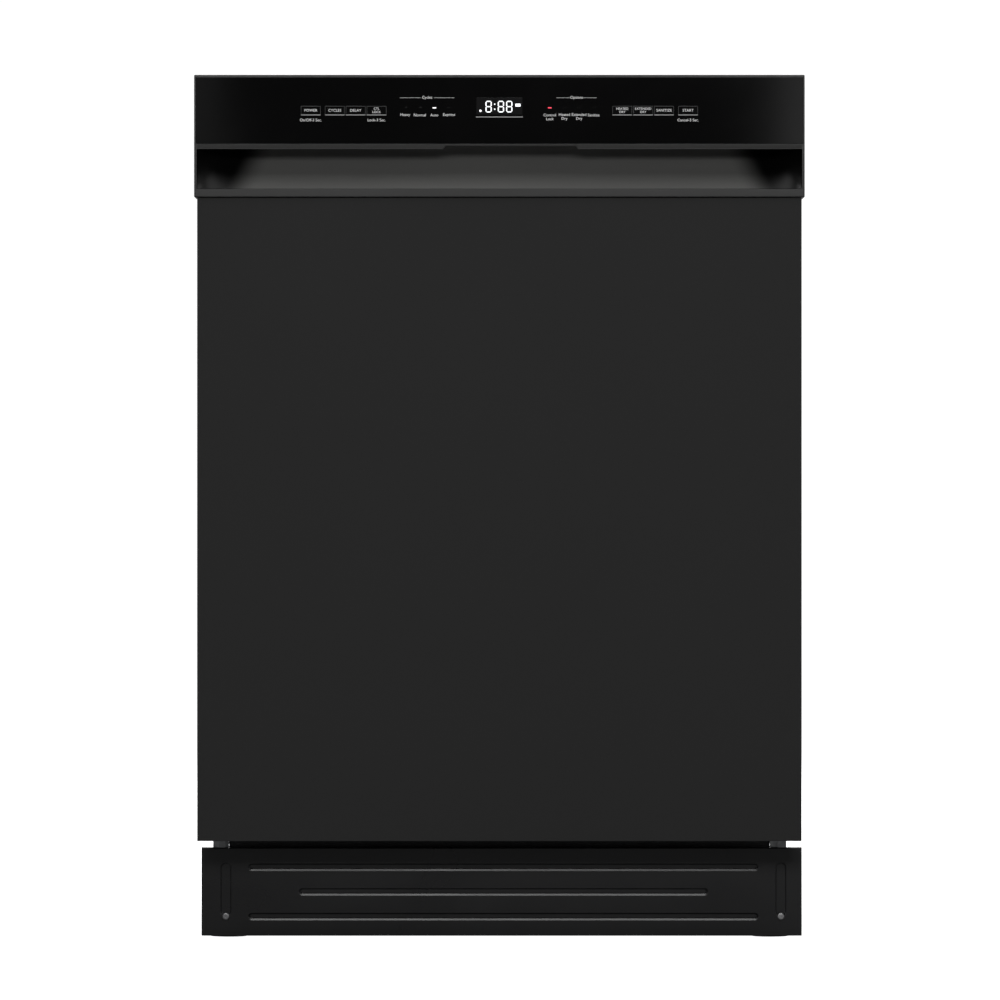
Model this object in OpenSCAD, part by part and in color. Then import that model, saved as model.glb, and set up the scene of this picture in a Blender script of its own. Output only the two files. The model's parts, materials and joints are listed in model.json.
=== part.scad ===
// Built-in dishwasher, 24-inch class: pocket-handle door, two racks, three spray arms.
// The door faces -Y. X is across the front, Z is up from the floor.
// The origin is on the floor, below the middle of the machine.

/* [Overall] */
// Width across the control fascia
body_w = 606; // [500:1:730]
// Depth from the front of the fascia to the back of the base
body_d = 622; // [515:1:750]
// Height from the floor to the top of the fascia
body_h = 860; // [715:1:1035]

/* [Door] */
// How far the door panel sits inside the fascia at each side
door_inset = 3; // [1:0.5:8]
// How far the door panel sits behind the front of the fascia
door_setback = 2; // [0.5:0.5:6]
// Height of the door panel's bottom edge above the floor
door_z0 = 99.5; // [92:0.5:110]
// Gap between the door panel and the fascia
panel_gap = 0.5; // [0.3:0.1:3]
// Sheet thickness of the door panel
panel_t = 0.9; // [0.6:0.1:1.5]
// Depth of the door panel's folded edges
panel_return = 22; // [15:1:26]
// Hinge axis behind the front of the fascia
hinge_back = 49; // [45:1:56]
// Height of the hinge axis above the floor
hinge_z = 124; // [118:1:130]
// Radius of the hinge pins
hinge_pin_r = 4; // [3:0.5:5]
// Radial clearance of every pin in its hole
pin_gap = 0.05; // [0.02:0.01:0.1]
// Sheet thickness of the door liner
liner_t = 1; // [0.8:0.1:1.5]
// Height of the raised middle of the liner above its rim
pan_rise = 14; // [8:1:16]

/* [Fascia] */
// Height of the whole fascia
fascia_h = 121.5; // [105:0.5:140]
// Height of the glossy control panel
lens_h = 66.4; // [60:0.2:74]
// Thickness of the glossy control panel
lens_t = 2.6; // [2:0.1:4]
// Visible edge of the fascia above the control panel
fascia_edge = 2; // [1:0.5:4]
// Height of the lip below the handle pocket
lip_h = 8.2; // [6:0.2:14]
// Depth of the handle pocket
pocket_d = 40; // [30:1:42]
// Height of the grip strip below the control panel
grip_h = 5; // [4:0.5:8]
// Thickness of the grip bar that the fingers pull on
grip_t = 12; // [9:1:15]
// Width of the shallow notch in the middle of the grip strip
notch_w = 134; // [80:1:200]

/* [Keys and lights] */
// Width of one key
key_w = 19.6; // [16:0.1:19.8]
// Height of one key
key_h = 9.6; // [8:0.1:12]
// Distance between the keys of a group
key_pitch = 20.75; // [20.6:0.05:24]
// Distance from the middle to the innermost key
key_in_x = 121.9; // [110:0.1:130]
// Distance from the middle to the power and start keys
key_end_x = 187.2; // [186:0.1:200]
// Gap around each key
key_gap = 0.25; // [0.2:0.05:0.4]
// Key travel
key_travel = 1.2; // [0.8:0.1:2]
// Middle of the keys below the top of the fascia
key_drop = 35.6; // [32:0.1:40]
// Width of the display window
display_w = 46.5; // [36:0.5:60]
// Height of the display window
display_h = 17.6; // [12:0.2:20]
// Radius of one indicator light
light_r = 1.25; // [1:0.05:2]
// Distance between the indicator lights
light_pitch = 14.5; // [10:0.1:14.8]
// Distance from the middle to the innermost indicator light
light_in_x = 50; // [36:0.5:52]

/* [Tub] */
// Gap between the tub's inner side and the outside of the fascia
tub_side = 35; // [33:1:45]
// Gap between the tub's inner back and the back of the base
tub_rear = 26; // [24:1:40]
// Gap between the tub's inner top and the top of the fascia
tub_head = 24; // [22:1:40]
// Sheet thickness of the tub
tub_t = 1.2; // [0.8:0.1:2]
// Height of the wheel ledge above the floor
ledge_z = 144; // [142:1:150]
// Width of each wheel ledge
ledge_w = 38; // [34:1:50]
// Thickness of the damping mats
mat_t = 4; // [2:0.5:6]

/* [Base] */
// Height of the base tray's floor
tray_z = 22; // [18:1:30]
// Wall thickness of the base tray
tray_t = 2.5; // [2:0.5:4]
// Radius of a levelling foot
foot_r = 19; // [15:1:25]
// Radius of a levelling foot's stem
foot_stem_r = 5; // [4:0.5:6]
// Toe kick behind the front of the fascia
kick_back = 79; // [76:1:100]
// Height of the toe kick's top edge
kick_top = 90; // [84:1:93]
// Gap between the toe kick and the floor
kick_floor_gap = 1.5; // [1:0.5:10]
// Sheet thickness of the toe kick
kick_t = 0.9; // [0.6:0.1:1.5]
// How far the toe kick stops short of the fascia's left side
kick_left_gap = 4.5; // [0:0.5:10]
// Sideways offset of the toe kick's pressed marks
kick_cx = 4; // [-6:0.5:6]

/* [Racks] */
// Thickness of one rack wire
wire = 4; // [3:0.5:5]
// Gap between the racks' front and back wires and the tub's ends
rack_end_gap = 27; // [25:1:60]
// Bottom of the lower rack's floor wires above the floor
lower_z = 172; // [171:1:180]
// Height of the lower rack's sides
lower_h = 128; // [100:1:140]
// Bottom of the upper rack's floor wires above the floor
upper_z = 478; // [440:1:500]
// Height of the upper rack's sides
upper_h = 112; // [100:1:130]
// Radius of a lower rack wheel
wheel_r = 16; // [13:1:16]
// Height of a folding tine
tine_h = 110; // [80:5:120]
// Length of the cutlery basket
basket_l = 330; // [240:10:340]
// Width of the cutlery basket
basket_w = 100; // [80:5:110]
// Height of the cutlery basket
basket_h = 115; // [90:5:125]

/* [Hidden] */

// small overlap that keeps cuts clean, and the gap left between separate pieces
eps = 1;
fit_gap = 0.3;

// planes across the machine
half_w = body_w / 2;
front_y = -body_d / 2;
back_y = body_d / 2;
door_half = half_w - door_inset;
door_y = front_y + door_setback;
hinge_y = front_y + hinge_back;
liner_y = hinge_y + 6;
pan_y = liner_y + pan_rise;
door_z1 = body_h - fascia_h - panel_gap;

// fascia
fascia_z0 = body_h - fascia_h;
fascia_back = liner_y - liner_t - 0.5;
fascia_wall = 2.5;
lens_half = half_w - 1.5;
lens_z1 = body_h - fascia_edge;
lens_z0 = lens_z1 - lens_h;
grip_z0 = lens_z0 - grip_h;
grip_z1 = lens_z0 + 11;
pocket_half = half_w - fascia_wall;
pocket_z0 = fascia_z0 + lip_h;
pocket_back = front_y + pocket_d;
scoop_t = 2;
notch_h = 3;

// keys and lights
key_z = body_h - key_drop;
key_back = front_y + 9;
key_flange = 1.8;
display_z = key_z + 4.6;
light_z = key_z + 2.8;
board_y = key_back + key_travel + 1.8;
board_t = 1.6;
board_half = key_end_x + 18;
window_half = key_end_x + 14;

// liner
liner_half = door_half - 3;
liner_z0 = hinge_z - 11;
liner_z1 = body_h - 10;
liner_return = 34;
pan_half = half_w - tub_side - 10;
pan_z0 = ledge_z + 2;
pan_z1 = body_h - tub_head - 9;

// dispenser in the liner, measured from the hinge axis
disp_z0 = hinge_z + 276;
disp_h = 140;
disp_half = 106;
disp_y0 = pan_y - 26;
disp_y1 = pan_y + 6;
cup_x = [-76, -8];
cup_z = [disp_z0 + 26, disp_z0 + 114];
lid_t = 2.5;
lid_y = disp_y1 + 0.5;
lid_travel = 60;
rinse_x = 82;
rinse_z = disp_z0 + 40;
rinse_r = 15;

key_places = [-key_end_x, for (i = [2 : -1 : 0]) -key_in_x - i * key_pitch,
    for (i = [0 : 2]) key_in_x + i * key_pitch, key_end_x];
light_places = [for (s = [-1, 1], i = [0 : 3]) s * (light_in_x + i * light_pitch)];

// tub
tub_half = half_w - tub_side;
tub_y0 = liner_y + 4;
tub_y1 = back_y - tub_rear;
tub_top = body_h - tub_head;
tub_out = tub_half + tub_t;
lip_y = hinge_y + 16;
basin_z = ledge_z - 19;
basin_half = tub_half - ledge_w;
hub_y = (tub_y0 + tub_y1) / 2 + 4;
sump_r = 95;
sump_z0 = 58;
gasket_t = 3.5;
latch_z = tub_top + 8.2;
float_x = 150;
float_y = lip_y + 56;
filter_x = 44;
filter_y = hub_y - 44;
filter_r = 27.5;

// frame and hinge hardware
post_x = [tub_out + 2.8, liner_half + 1];
post_y = [tub_y0 + tub_t + fit_gap, tub_y0 + 27];
leg_y = [front_y + kick_back + 4, front_y + kick_back + 26];
leg_x = [tub_out + 2.8, tub_out + 14.8];
plate_x = [leg_x[1], leg_x[1] + 3];
arm_x = [plate_x[0] - 4.5, plate_x[0] - 1.5];
rail_top = body_h - 10;
kick_y = front_y + kick_back;
kick_x0 = -half_w + kick_left_gap;
mark_half = half_w - 25;
slot_z = [21, 76];
tab_half = half_w - 22;

// feet
foot_x = half_w - 31;
foot_y0 = kick_y + 28;
foot_y1 = back_y - 30;
service_half = foot_x - 32;

// racks
rack_y0 = tub_y0 + rack_end_gap;
rack_y1 = tub_y1 - rack_end_gap - 28;
rack_half = tub_half - 18;
wheel_x = [rack_half + 4, rack_half + 11.5];
wheel_z = ledge_z + wheel_r + fit_gap;
wheel_y0 = rack_y0 + 112;
wheel_y1 = rack_y1 - 50;
axle_r = 3;
rail_x = [rack_half + 1.5, rack_half + 13];
rail_z = [upper_z + 82, upper_z + 102];
rail_y = [rack_y0 + 10, rack_y1 + 8];
rail_wall = 1.5;
roller_r = 9;
roller_z = rail_z[0] - roller_r - fit_gap;
roller_y0 = rail_y[0] + 18;
roller_y1 = roller_y0 + 175;
shoe_y0 = rail_y[1] - 190;
shoe_y1 = rail_y[1] - 20;
shoe_half = 7;
weld_gap = 0.4;
arm_r = min(basin_half - 10, (rack_y1 - rack_y0) / 2 - 12);
top_arm_r = arm_r * 0.68;
lower_arm_z = ledge_z + 4;
arm_t = 14;
upper_arm_z = upper_z - 26;
upper_hub_y = (rack_y0 + rack_y1) / 2;
top_arm_z = tub_top - 32;
arm_pin_r = 6;
shelf_z = upper_z + 84;
shelf_x = -rack_half + 8;
shelf_w = 104;
tine_y = (rack_y0 + rack_y1) / 2 + 70;
fixed_tine_y = tine_y - 150;
basket_x = [rack_half - 10 - basket_w, rack_half - 10];
basket_y0 = rack_y0 + 12;
tine_x = [-rack_half + 14, basket_x[0] - 18];

module block(x, y, z) {
    translate([x[0], y[0], z[0]]) cube([x[1] - x[0], y[1] - y[0], z[1] - z[0]]);
}

module both_sides() {
    children();
    mirror([1, 0, 0]) children();
}

module rod_x(x, y, z, r) {
    translate([x[0], y, z]) rotate([0, 90, 0]) cylinder(h = x[1] - x[0], r = r, $fn = 48);
}

module rod_y(x, y, z, r) {
    translate([x, y[0], z]) rotate([-90, 0, 0]) cylinder(h = y[1] - y[0], r = r, $fn = 48);
}

module rod_z(x, y, z, r) {
    translate([x, y, z[0]]) cylinder(h = z[1] - z[0], r = r, $fn = 48);
}

// A pressed bead lying along X: a bar between round ends, pushed along Y.
module bead(cx, cz, length, height, y) {
    straight = (length - height) / 2;
    block([cx - straight, cx + straight], y, [cz - height / 2, cz + height / 2]);
    for (side = [-1, 1])
        rod_y(cx + side * straight, y, cz, height / 2);
}

module bead_up(cx, cz, length, width, y) {
    block([cx - width / 2, cx + width / 2], y, [cz - length / 2 + width / 2, cz + length / 2 - width / 2]);
    for (side = [-1, 1])
        rod_y(cx, y, cz + side * (length - width) / 2, width / 2);
}

// Evenly spaced places from a to b, close to the wanted pitch.
function spread(a, b, pitch) =
    let (n = max(1, round((b - a) / pitch)))
    [for (i = [0 : n]) a + (b - a) * i / n];

module grid_floor(x, y, z, pitch) {
    for (cx = spread(x[0] + wire / 2, x[1] - wire / 2, pitch))
        block([cx - wire / 2, cx + wire / 2], y, [z, z + wire]);
    for (cy = spread(y[0] + wire / 2, y[1] - wire / 2, pitch))
        block(x, [cy - wire / 2, cy + wire / 2], [z, z + wire]);
}

module grid_side(x, y, z, pitch, rails) {
    for (cy = spread(y[0] + wire / 2, y[1] - wire / 2, pitch))
        block([x, x + wire], [cy - wire / 2, cy + wire / 2], z);
    for (cz = spread(z[0] + wire / 2, z[1] - wire / 2, (z[1] - z[0]) / rails))
        block([x, x + wire], y, [cz - wire / 2, cz + wire / 2]);
}

module grid_end(x, y, z, pitch, rails) {
    for (cx = spread(x[0] + wire / 2, x[1] - wire / 2, pitch))
        block([cx - wire / 2, cx + wire / 2], [y, y + wire], z);
    for (cz = spread(z[0] + wire / 2, z[1] - wire / 2, (z[1] - z[0]) / rails))
        block(x, [y, y + wire], [cz - wire / 2, cz + wire / 2]);
}

module base_pan() color([0.16, 0.16, 0.17]) {
    difference() {
        union() {
            difference() {
                block([-liner_half, liner_half], [leg_y[0], back_y], [tray_z, tray_z + 38]);
                block([-liner_half + tray_t, liner_half - tray_t], [leg_y[0] + tray_t, back_y - tray_t],
                    [tray_z + tray_t, tray_z + 40]);
            }
            for (x = [-foot_x, foot_x], y = [foot_y0, foot_y1])
                rod_z(x, y, [tray_z, tray_z + 22], foot_stem_r + 6);
        }
        for (x = [-foot_x, foot_x], y = [foot_y0, foot_y1])
            rod_z(x, y, [tray_z - eps, tray_z + 22 + eps], foot_stem_r + pin_gap);
        block([-service_half, service_half], [back_y - tray_t - eps, back_y + eps], [tray_z + 14, tray_z + 40]);
    }
}

module support_frame() color([0.62, 0.63, 0.64]) {
    sheet = 1.5;
    both_sides() {
        difference() {
            block(post_x, post_y, [hinge_z + 18, rail_top]);
            block([post_x[0] + sheet, post_x[1] + eps], [post_y[0] + sheet, post_y[1] - sheet],
                [hinge_z + 18 + sheet, rail_top - 16]);
        }
        block(leg_x, leg_y, [tray_z + 38 + fit_gap, hinge_z + 26]);
        block([leg_x[0], leg_x[0] + sheet], [leg_y[1] - eps, back_y - 6], [tray_z + 42, tray_z + 68]);
        block([leg_x[0] - 14, leg_x[0] + sheet], [back_y - 18, back_y - 6], [tray_z + 42, tray_z + 480]);
    }
    difference() {
        block([-post_x[0] - eps, post_x[0] + eps], [post_y[0], post_y[0] + 18],
            [tub_top + tub_t + fit_gap, rail_top]);
        block([-post_x[0] + sheet, post_x[0] - sheet], [post_y[0] + sheet, post_y[0] + 20],
            [tub_top + tub_t + fit_gap + sheet, rail_top - sheet]);
        block([-26, 26], [post_y[0] - eps, post_y[0] + 4], [latch_z - 1.5, rail_top - sheet]);
    }
    for (side = [-1, 1]) {
        tab_x = kick_cx * 0.5 + side * tab_half;
        block([tab_x - 4.5, tab_x + 4.5], [kick_y + kick_t + fit_gap, leg_y[0]], [tray_z + 39, kick_top + 7]);
    }
}

module tub_wrap() color([0.74, 0.75, 0.76]) {
    difference() {
        block([-tub_out, tub_out], [tub_y0, tub_y1], [basin_z - 6, tub_top + tub_t]);
        block([-tub_half, tub_half], [tub_y0 - eps, tub_y1 + eps], [basin_z - 8, tub_top]);
        block([-tub_out - eps, tub_out + eps], [tub_y0 - eps, lip_y], [basin_z - 8, hinge_z + 18]);
    }
    difference() {
        block([-liner_half, liner_half], [tub_y0, tub_y0 + tub_t], [hinge_z + 18, rail_top - fit_gap]);
        block([-tub_half - tub_t / 2, tub_half + tub_t / 2], [tub_y0 - eps, tub_y0 + 2 * tub_t],
            [hinge_z + 16, tub_top + tub_t / 2]);
        block([-22, 22], [tub_y0 - eps, tub_y0 + 2 * tub_t], [latch_z - 1.5, rail_top - 1.5]);
    }
    both_sides()
        for (y = [roller_y0, roller_y1]) {
            rod_x([rail_x[0] + 1, tub_half + tub_t / 2], y, roller_z, axle_r);
            block([rail_x[0] + 3, tub_half + tub_t / 2], [y - 8, y + 8],
                [rail_z[1] + fit_gap, rail_z[1] + 5]);
        }
}

module tub_back() color([0.74, 0.75, 0.76]) {
    block([-tub_out, tub_out], [tub_y1 + 0.01, tub_y1 + tub_t], [basin_z - 6, tub_top + tub_t]);
    for (x = [-150, -50, 50, 150])
        bead_up(x * tub_half / 268, (upper_z + tub_top) / 2 - 40, 300, 26, [tub_y1 - 2.5, tub_y1 + 0.01]);
}

module tub_floor() color([0.66, 0.67, 0.68]) {
    wall = 2.5;
    side = tub_half - fit_gap;
    rear = tub_y1 - fit_gap;
    difference() {
        block([-side, side], [lip_y, rear], [basin_z - wall, ledge_z]);
        block([-basin_half, basin_half], [lip_y + 22, rear - 18], [basin_z, ledge_z + eps]);
        for (s = [-1, 1])
            block([s * (basin_half + side) / 2 - ledge_w / 2 + wall + 0.5,
                s * (basin_half + side) / 2 + ledge_w / 2 - wall - 0.5],
                [lip_y + wall, rear - wall], [basin_z - wall - eps, ledge_z - wall]);
        block([-basin_half, basin_half], [lip_y + wall, lip_y + 22 - wall],
            [basin_z - wall - eps, ledge_z - wall]);
        rod_z(0, hub_y, [basin_z - 2 * wall, basin_z + eps], sump_r);
        rod_z(float_x, float_y, [basin_z - 2 * wall, basin_z + eps], 7);
        rod_z(0, tub_y1 - 14, [basin_z - 2 * wall, ledge_z + eps], 9);
    }
}

module damping_mats() color([0.10, 0.10, 0.11]) {
    both_sides()
        block([tub_out + 0.01, tub_out + mat_t - 1.4], [post_y[1] + 6, tub_y1 - 12],
            [ledge_z + 26, tub_top - 50]);
    block([-tub_half + 40, tub_half - 40], [post_y[1] + 30, tub_y1 - 30],
        [tub_top + tub_t + 0.01, tub_top + tub_t + mat_t]);
    for (s = [-1, 1])
        block([s * tub_half / 2 - 95, s * tub_half / 2 + 95], [tub_y1 + tub_t + 0.01, tub_y1 + tub_t + mat_t],
            [ledge_z + 60, tub_top - 60]);
}

module tub_gasket() color([0.13, 0.13, 0.13]) {
    x0 = tub_half + 4;
    difference() {
        block([-x0 - 11, x0 + 11], [tub_y0 - gasket_t, tub_y0 - 0.01], [hinge_z + 22, tub_top + 7]);
        block([-x0, x0], [tub_y0 - gasket_t - eps, tub_y0 + eps], [hinge_z + 20, tub_top + 1.5]);
    }
}

module sump() color([0.20, 0.20, 0.21]) {
    difference() {
        rod_z(0, hub_y, [sump_z0, basin_z - 2.6], sump_r + 8);
        rod_z(0, hub_y, [sump_z0 + 3, basin_z], sump_r);
    }
    rod_z(0, hub_y, [sump_z0 + 2, lower_arm_z - 0.5], 15);
    rod_z(0, hub_y, [lower_arm_z - 1, lower_arm_z + arm_t + 3], arm_pin_r);
    rod_z(0, hub_y, [lower_arm_z + arm_t + 0.4, lower_arm_z + arm_t + 4.5], 13);
}

module circulation_pump() color([0.30, 0.31, 0.33]) {
    x = -sump_r - 8.3;
    rod_x([x - 34, x], hub_y - 10, sump_z0 + 28, 34);
    rod_x([x - 98, x - 33], hub_y - 10, sump_z0 + 28, 30);
    rod_x([x - 108, x - 97], hub_y - 10, sump_z0 + 28, 12);
}

module drain_pump() color([0.26, 0.27, 0.30]) {
    x = sump_r + 8.3;
    difference() {
        union() {
            rod_x([x, x + 30], hub_y + 20, sump_z0 + 16, 24);
            rod_x([x + 29, x + 74], hub_y + 20, sump_z0 + 16, 19);
            rod_y(x + 16, [hub_y + 20, hub_y + 47], sump_z0 + 16, 10);
            rod_y(x + 16, [hub_y + 46, hub_y + 74], sump_z0 + 16, 11);
        }
        rod_y(x + 16, [hub_y + 44, hub_y + 75], sump_z0 + 16, 8.5);
    }
}

module inlet_valve() color([0.82, 0.82, 0.80]) {
    x = -foot_x + 62;
    z0 = tray_z + tray_t;
    difference() {
        union() {
            block([x - 20, x + 20], [foot_y0 + 6, foot_y0 + 44], [z0 + 10, z0 + 42]);
            rod_y(x, [foot_y0 + 42, foot_y0 + 59], z0 + 26, 13);
            rod_z(x, foot_y0 + 25, [z0 + 41, z0 + 62], 15);
        }
        rod_y(x, [foot_y0 + 47, foot_y0 + 60], z0 + 26, 7.5);
    }
    block([x - 16, x + 16], [foot_y0 + 14, foot_y0 + 36], [z0 + 0.01, z0 + 11]);
}

module junction_box() color([0.60, 0.61, 0.62]) {
    x = foot_x - 70;
    z0 = tray_z + tray_t + 12;
    difference() {
        block([x - 38, x + 38], [foot_y0 - 4, foot_y0 + 56], [z0, z0 + 48]);
        block([x - 36.8, x + 36.8], [foot_y0 - 2.8, foot_y0 + 54.8], [z0 + 1.2, z0 + 46.8]);
        rod_y(x + 14, [foot_y0 + 54, foot_y0 + 58], z0 + 24, 11.1);
    }
    block([x - 30, x + 30], [foot_y0 + 8, foot_y0 + 40], [tray_z + tray_t + 0.01, z0 + 0.5]);
}

module heating_element() color([0.32, 0.32, 0.33]) {
    r = 4;
    ring = arm_r - 34;
    z = basin_z + 9;
    difference() {
        translate([0, hub_y, z]) rotate_extrude($fn = 96) translate([ring, 0]) circle(r = r, $fn = 24);
        block([-22, 22], [hub_y + ring - 30, hub_y + ring + 20], [z - 9, z + 9]);
    }
    for (s = [-1, 1]) {
        rod_z(s * 24, hub_y + sqrt(ring * ring - 24 * 24), [basin_z + 0.01, z], r);
        rod_z(s * (ring * 0.72), hub_y - ring * 0.694, [basin_z + 0.01, z - 1], 3);
    }
}

module filter_plate() color([0.70, 0.71, 0.72]) {
    difference() {
        rod_z(0, hub_y, [basin_z - 1.4, basin_z + 0.8], sump_r - fit_gap);
        rod_z(0, hub_y, [basin_z - 3, basin_z + 2], 15 + 1);
        rod_z(filter_x, filter_y, [basin_z - 3, basin_z + 2], filter_r + 0.6);
    }
}

module filter_cup() color([0.42, 0.44, 0.47]) {
    difference() {
        union() {
            rod_z(filter_x, filter_y, [sump_z0 + 8, basin_z + 1], filter_r);
            rod_z(filter_x, filter_y, [basin_z + 1.2, basin_z + 3.4], filter_r + 4);
            rod_z(filter_x, filter_y, [basin_z + 0.5, basin_z + 3], filter_r - 1);
        }
        rod_z(filter_x, filter_y, [sump_z0 + 10, basin_z + 5], filter_r - 2);
    }
    difference() {
        block([filter_x - filter_r, filter_x + filter_r], [filter_y - 2.5, filter_y + 2.5],
            [basin_z - 8, basin_z + 16]);
        block([filter_x - 15, filter_x + 15], [filter_y - 4, filter_y + 4], [basin_z - 9, basin_z + 8]);
    }
}

module float_dome() color([0.85, 0.85, 0.82]) {
    difference() {
        rod_z(float_x, float_y, [basin_z + 1, basin_z + 20], 24);
        rod_z(float_x, float_y, [basin_z, basin_z + 17], 21.5);
    }
    rod_z(float_x, float_y, [basin_z - 22, basin_z + 18], 6);
}

module hinge_brackets() color([0.55, 0.56, 0.58]) {
    both_sides() {
        block(plate_x, [hinge_y, leg_y[1]], [hinge_z - 14, hinge_z + 11]);
        rod_x(plate_x, hinge_y, hinge_z, 11);
        block(plate_x, leg_y, [tray_z + 44, hinge_z + 11]);
        rod_x([arm_x[0] - 1, plate_x[1]], hinge_y, hinge_z, hinge_pin_r);
        rod_x([arm_x[0] - 3, arm_x[0] - 0.5], hinge_y, hinge_z, hinge_pin_r + 2);
    }
}

module hinge_arms() color([0.55, 0.56, 0.58]) {
    both_sides()
        difference() {
            union() {
                rod_x(arm_x, hinge_y, hinge_z, 9);
                block(arm_x, [hinge_y - 18, hinge_y + 3], [hinge_z, hinge_z + 210]);
                block([arm_x[0], liner_half - liner_t], [hinge_y - 18, hinge_y - 16],
                    [hinge_z + 24, hinge_z + 210]);
            }
            rod_x([arm_x[0] - eps, arm_x[1] + eps], hinge_y, hinge_z, hinge_pin_r + pin_gap);
        }
}

module door_springs() color([0.40, 0.41, 0.43]) {
    x = leg_x[0] + 9;
    z = tray_z + 58;
    both_sides() {
        rod_y(x, [leg_y[1] + 40, leg_y[1] + 250], z, 6);
        rod_y(x, [leg_y[1] + 0.01, leg_y[1] + 42], z, 1.5);
        rod_y(x, [leg_y[1] + 248, leg_y[1] + 300], z, 1.5);
        block([leg_x[0] + 1.51, x + 5], [leg_y[1] + 298, leg_y[1] + 301], [z - 8, z + 8]);
    }
}

module feed_tube() color([0.35, 0.36, 0.38]) {
    r = 8;
    y = tub_y1 - 14;
    z = top_arm_z + 22;
    rod_z(0, y, [basin_z - 20, z], r);
    rod_y(0, [hub_y, y], z, r);
    translate([0, y, z]) sphere(r = r, $fn = 32);
    rod_z(0, hub_y, [top_arm_z + arm_t - 0.6, z], r);
    rod_z(0, hub_y, [top_arm_z - 3, z - 2], arm_pin_r - 1);
    rod_z(0, hub_y, [top_arm_z - 5, top_arm_z - 0.5], 10);
}

module counter_brackets() color([0.62, 0.63, 0.64]) {
    for (x = [-150, 150])
        difference() {
            block([x - 22, x + 22], [post_y[0], post_y[0] + 70], [rail_top + 0.01, rail_top + 1.5]);
            rod_z(x, post_y[0] + 12, [rail_top - 1, rail_top + 3], 2.5);
        }
}

module toe_kick() color([0.11, 0.11, 0.12]) {
    z1 = kick_top;
    depth = leg_y[0] - kick_y - 2 * fit_gap;
    rows = [[z1 - 19.6, mark_half * 1.812], [z1 - 44.7, mark_half * 1.45], [z1 - 69.2, mark_half * 1.812]];
    difference() {
        union() {
            block([kick_x0, half_w], [kick_y, kick_y + kick_t], [kick_floor_gap, z1]);
            block([kick_x0, half_w], [kick_y, leg_y[0] - fit_gap], [z1 - kick_t, z1]);
            block([kick_x0, kick_x0 + kick_t], [kick_y, kick_y + 10], [kick_floor_gap, z1]);
            block([half_w - kick_t, half_w], [kick_y, kick_y + 10], [kick_floor_gap, z1]);
            for (row = rows)
                bead(kick_cx, row[0], row[1] + 2 * kick_t, 9.5 + 2 * kick_t,
                    [kick_y + kick_t / 2, kick_y + depth]);
        }
        for (row = rows)
            bead(kick_cx, row[0], row[1], 9.5, [kick_y - eps, kick_y + depth - kick_t]);
        for (s = [-1, 1]) {
            block([kick_cx * 0.5 + s * tab_half - 6, kick_cx * 0.5 + s * tab_half + 6],
                [kick_y + kick_t, kick_y + 15], [z1 - 2 * kick_t, z1 + eps]);
            bead_up(kick_cx + s * mark_half, 48, 54, 11, [kick_y - eps, kick_y + kick_t / 2]);
            rod_y(kick_cx + s * mark_half, [kick_y - eps, kick_y + 2], slot_z[0], 2.6);
        }
    }
}

module kick_screws() color([0.35, 0.35, 0.36]) {
    for (s = [-1, 1]) {
        rod_y(kick_cx + s * mark_half, [kick_y - 2.2, kick_y - 0.01], slot_z[0], 4);
        rod_y(kick_cx + s * mark_half, [kick_y - 1, leg_y[0] - fit_gap], slot_z[0], 2.1);
    }
}

module foot(x, y) color([0.25, 0.25, 0.26]) {
    rod_z(x, y, [0, 7], foot_r);
    rod_z(x, y, [6, tray_z + 34], foot_stem_r);
    rod_z(x, y, [6, 15], foot_stem_r + 4);
}

module foot_front_left() foot(-foot_x, foot_y0);
module foot_front_right() foot(foot_x, foot_y0);
module foot_rear_left() foot(-foot_x, foot_y1);
module foot_rear_right() foot(foot_x, foot_y1);

// A flat spray arm: two blades, a round hub with the pin's hole, and rounded tips.
module spray_arm(cy, z, r, blade_w, pin_r) {
    difference() {
        union() {
            rod_z(0, cy, [z, z + arm_t - 1], 22);
            block([-r + blade_w / 2, r - blade_w / 2], [cy - blade_w / 2, cy + blade_w / 2],
                [z + 2, z + arm_t - 2]);
            for (s = [-1, 1])
                rod_z(s * (r - blade_w / 2), cy, [z + 2, z + arm_t - 2], blade_w / 2);
        }
        rod_z(0, cy, [z - eps, z + arm_t + eps], pin_r + pin_gap);
        for (s = [-1, 1], k = [1 : 5])
            rod_z(s * r * (0.16 + 0.145 * k), cy, [z + arm_t - 5, z + arm_t], 1.6);
    }
}

module lower_spray_arm() color([0.32, 0.34, 0.37]) {
    spray_arm(hub_y, lower_arm_z, arm_r, 42, arm_pin_r);
}

module top_spray_arm() color([0.32, 0.34, 0.37]) {
    spray_arm(hub_y, top_arm_z, top_arm_r, 30, arm_pin_r - 1);
}

module upper_spray_arm() color([0.32, 0.34, 0.37]) {
    spray_arm(upper_hub_y, upper_arm_z, arm_r * 0.95, 36, arm_pin_r - 1);
}

module rail_roller(y) {
    both_sides()
        difference() {
            rod_x([rail_x[0] + 2, rail_x[1] - 1], y, roller_z, roller_r);
            rod_x([rail_x[0] + 1, rail_x[1]], y, roller_z, axle_r + pin_gap);
        }
}

module rail_rollers_front() color([0.80, 0.80, 0.78]) rail_roller(roller_y0);
module rail_rollers_rear() color([0.80, 0.80, 0.78]) rail_roller(roller_y1);

module upper_rails() color([0.72, 0.73, 0.74]) {
    both_sides()
        difference() {
            block(rail_x, rail_y, rail_z);
            block([rail_x[0] - eps, rail_x[1] - rail_wall], [rail_y[0] - eps, rail_y[1] - rail_wall],
                [rail_z[0] + rail_wall, rail_z[1] - rail_wall]);
        }
}

module door_panel() color([0.10, 0.10, 0.10]) {
    difference() {
        block([-door_half, door_half], [door_y, door_y + panel_return], [door_z0, door_z1]);
        block([-door_half + panel_t, door_half - panel_t], [door_y + panel_t, door_y + panel_return + eps],
            [door_z0 + panel_t, door_z1 - panel_t]);
    }
}

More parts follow.
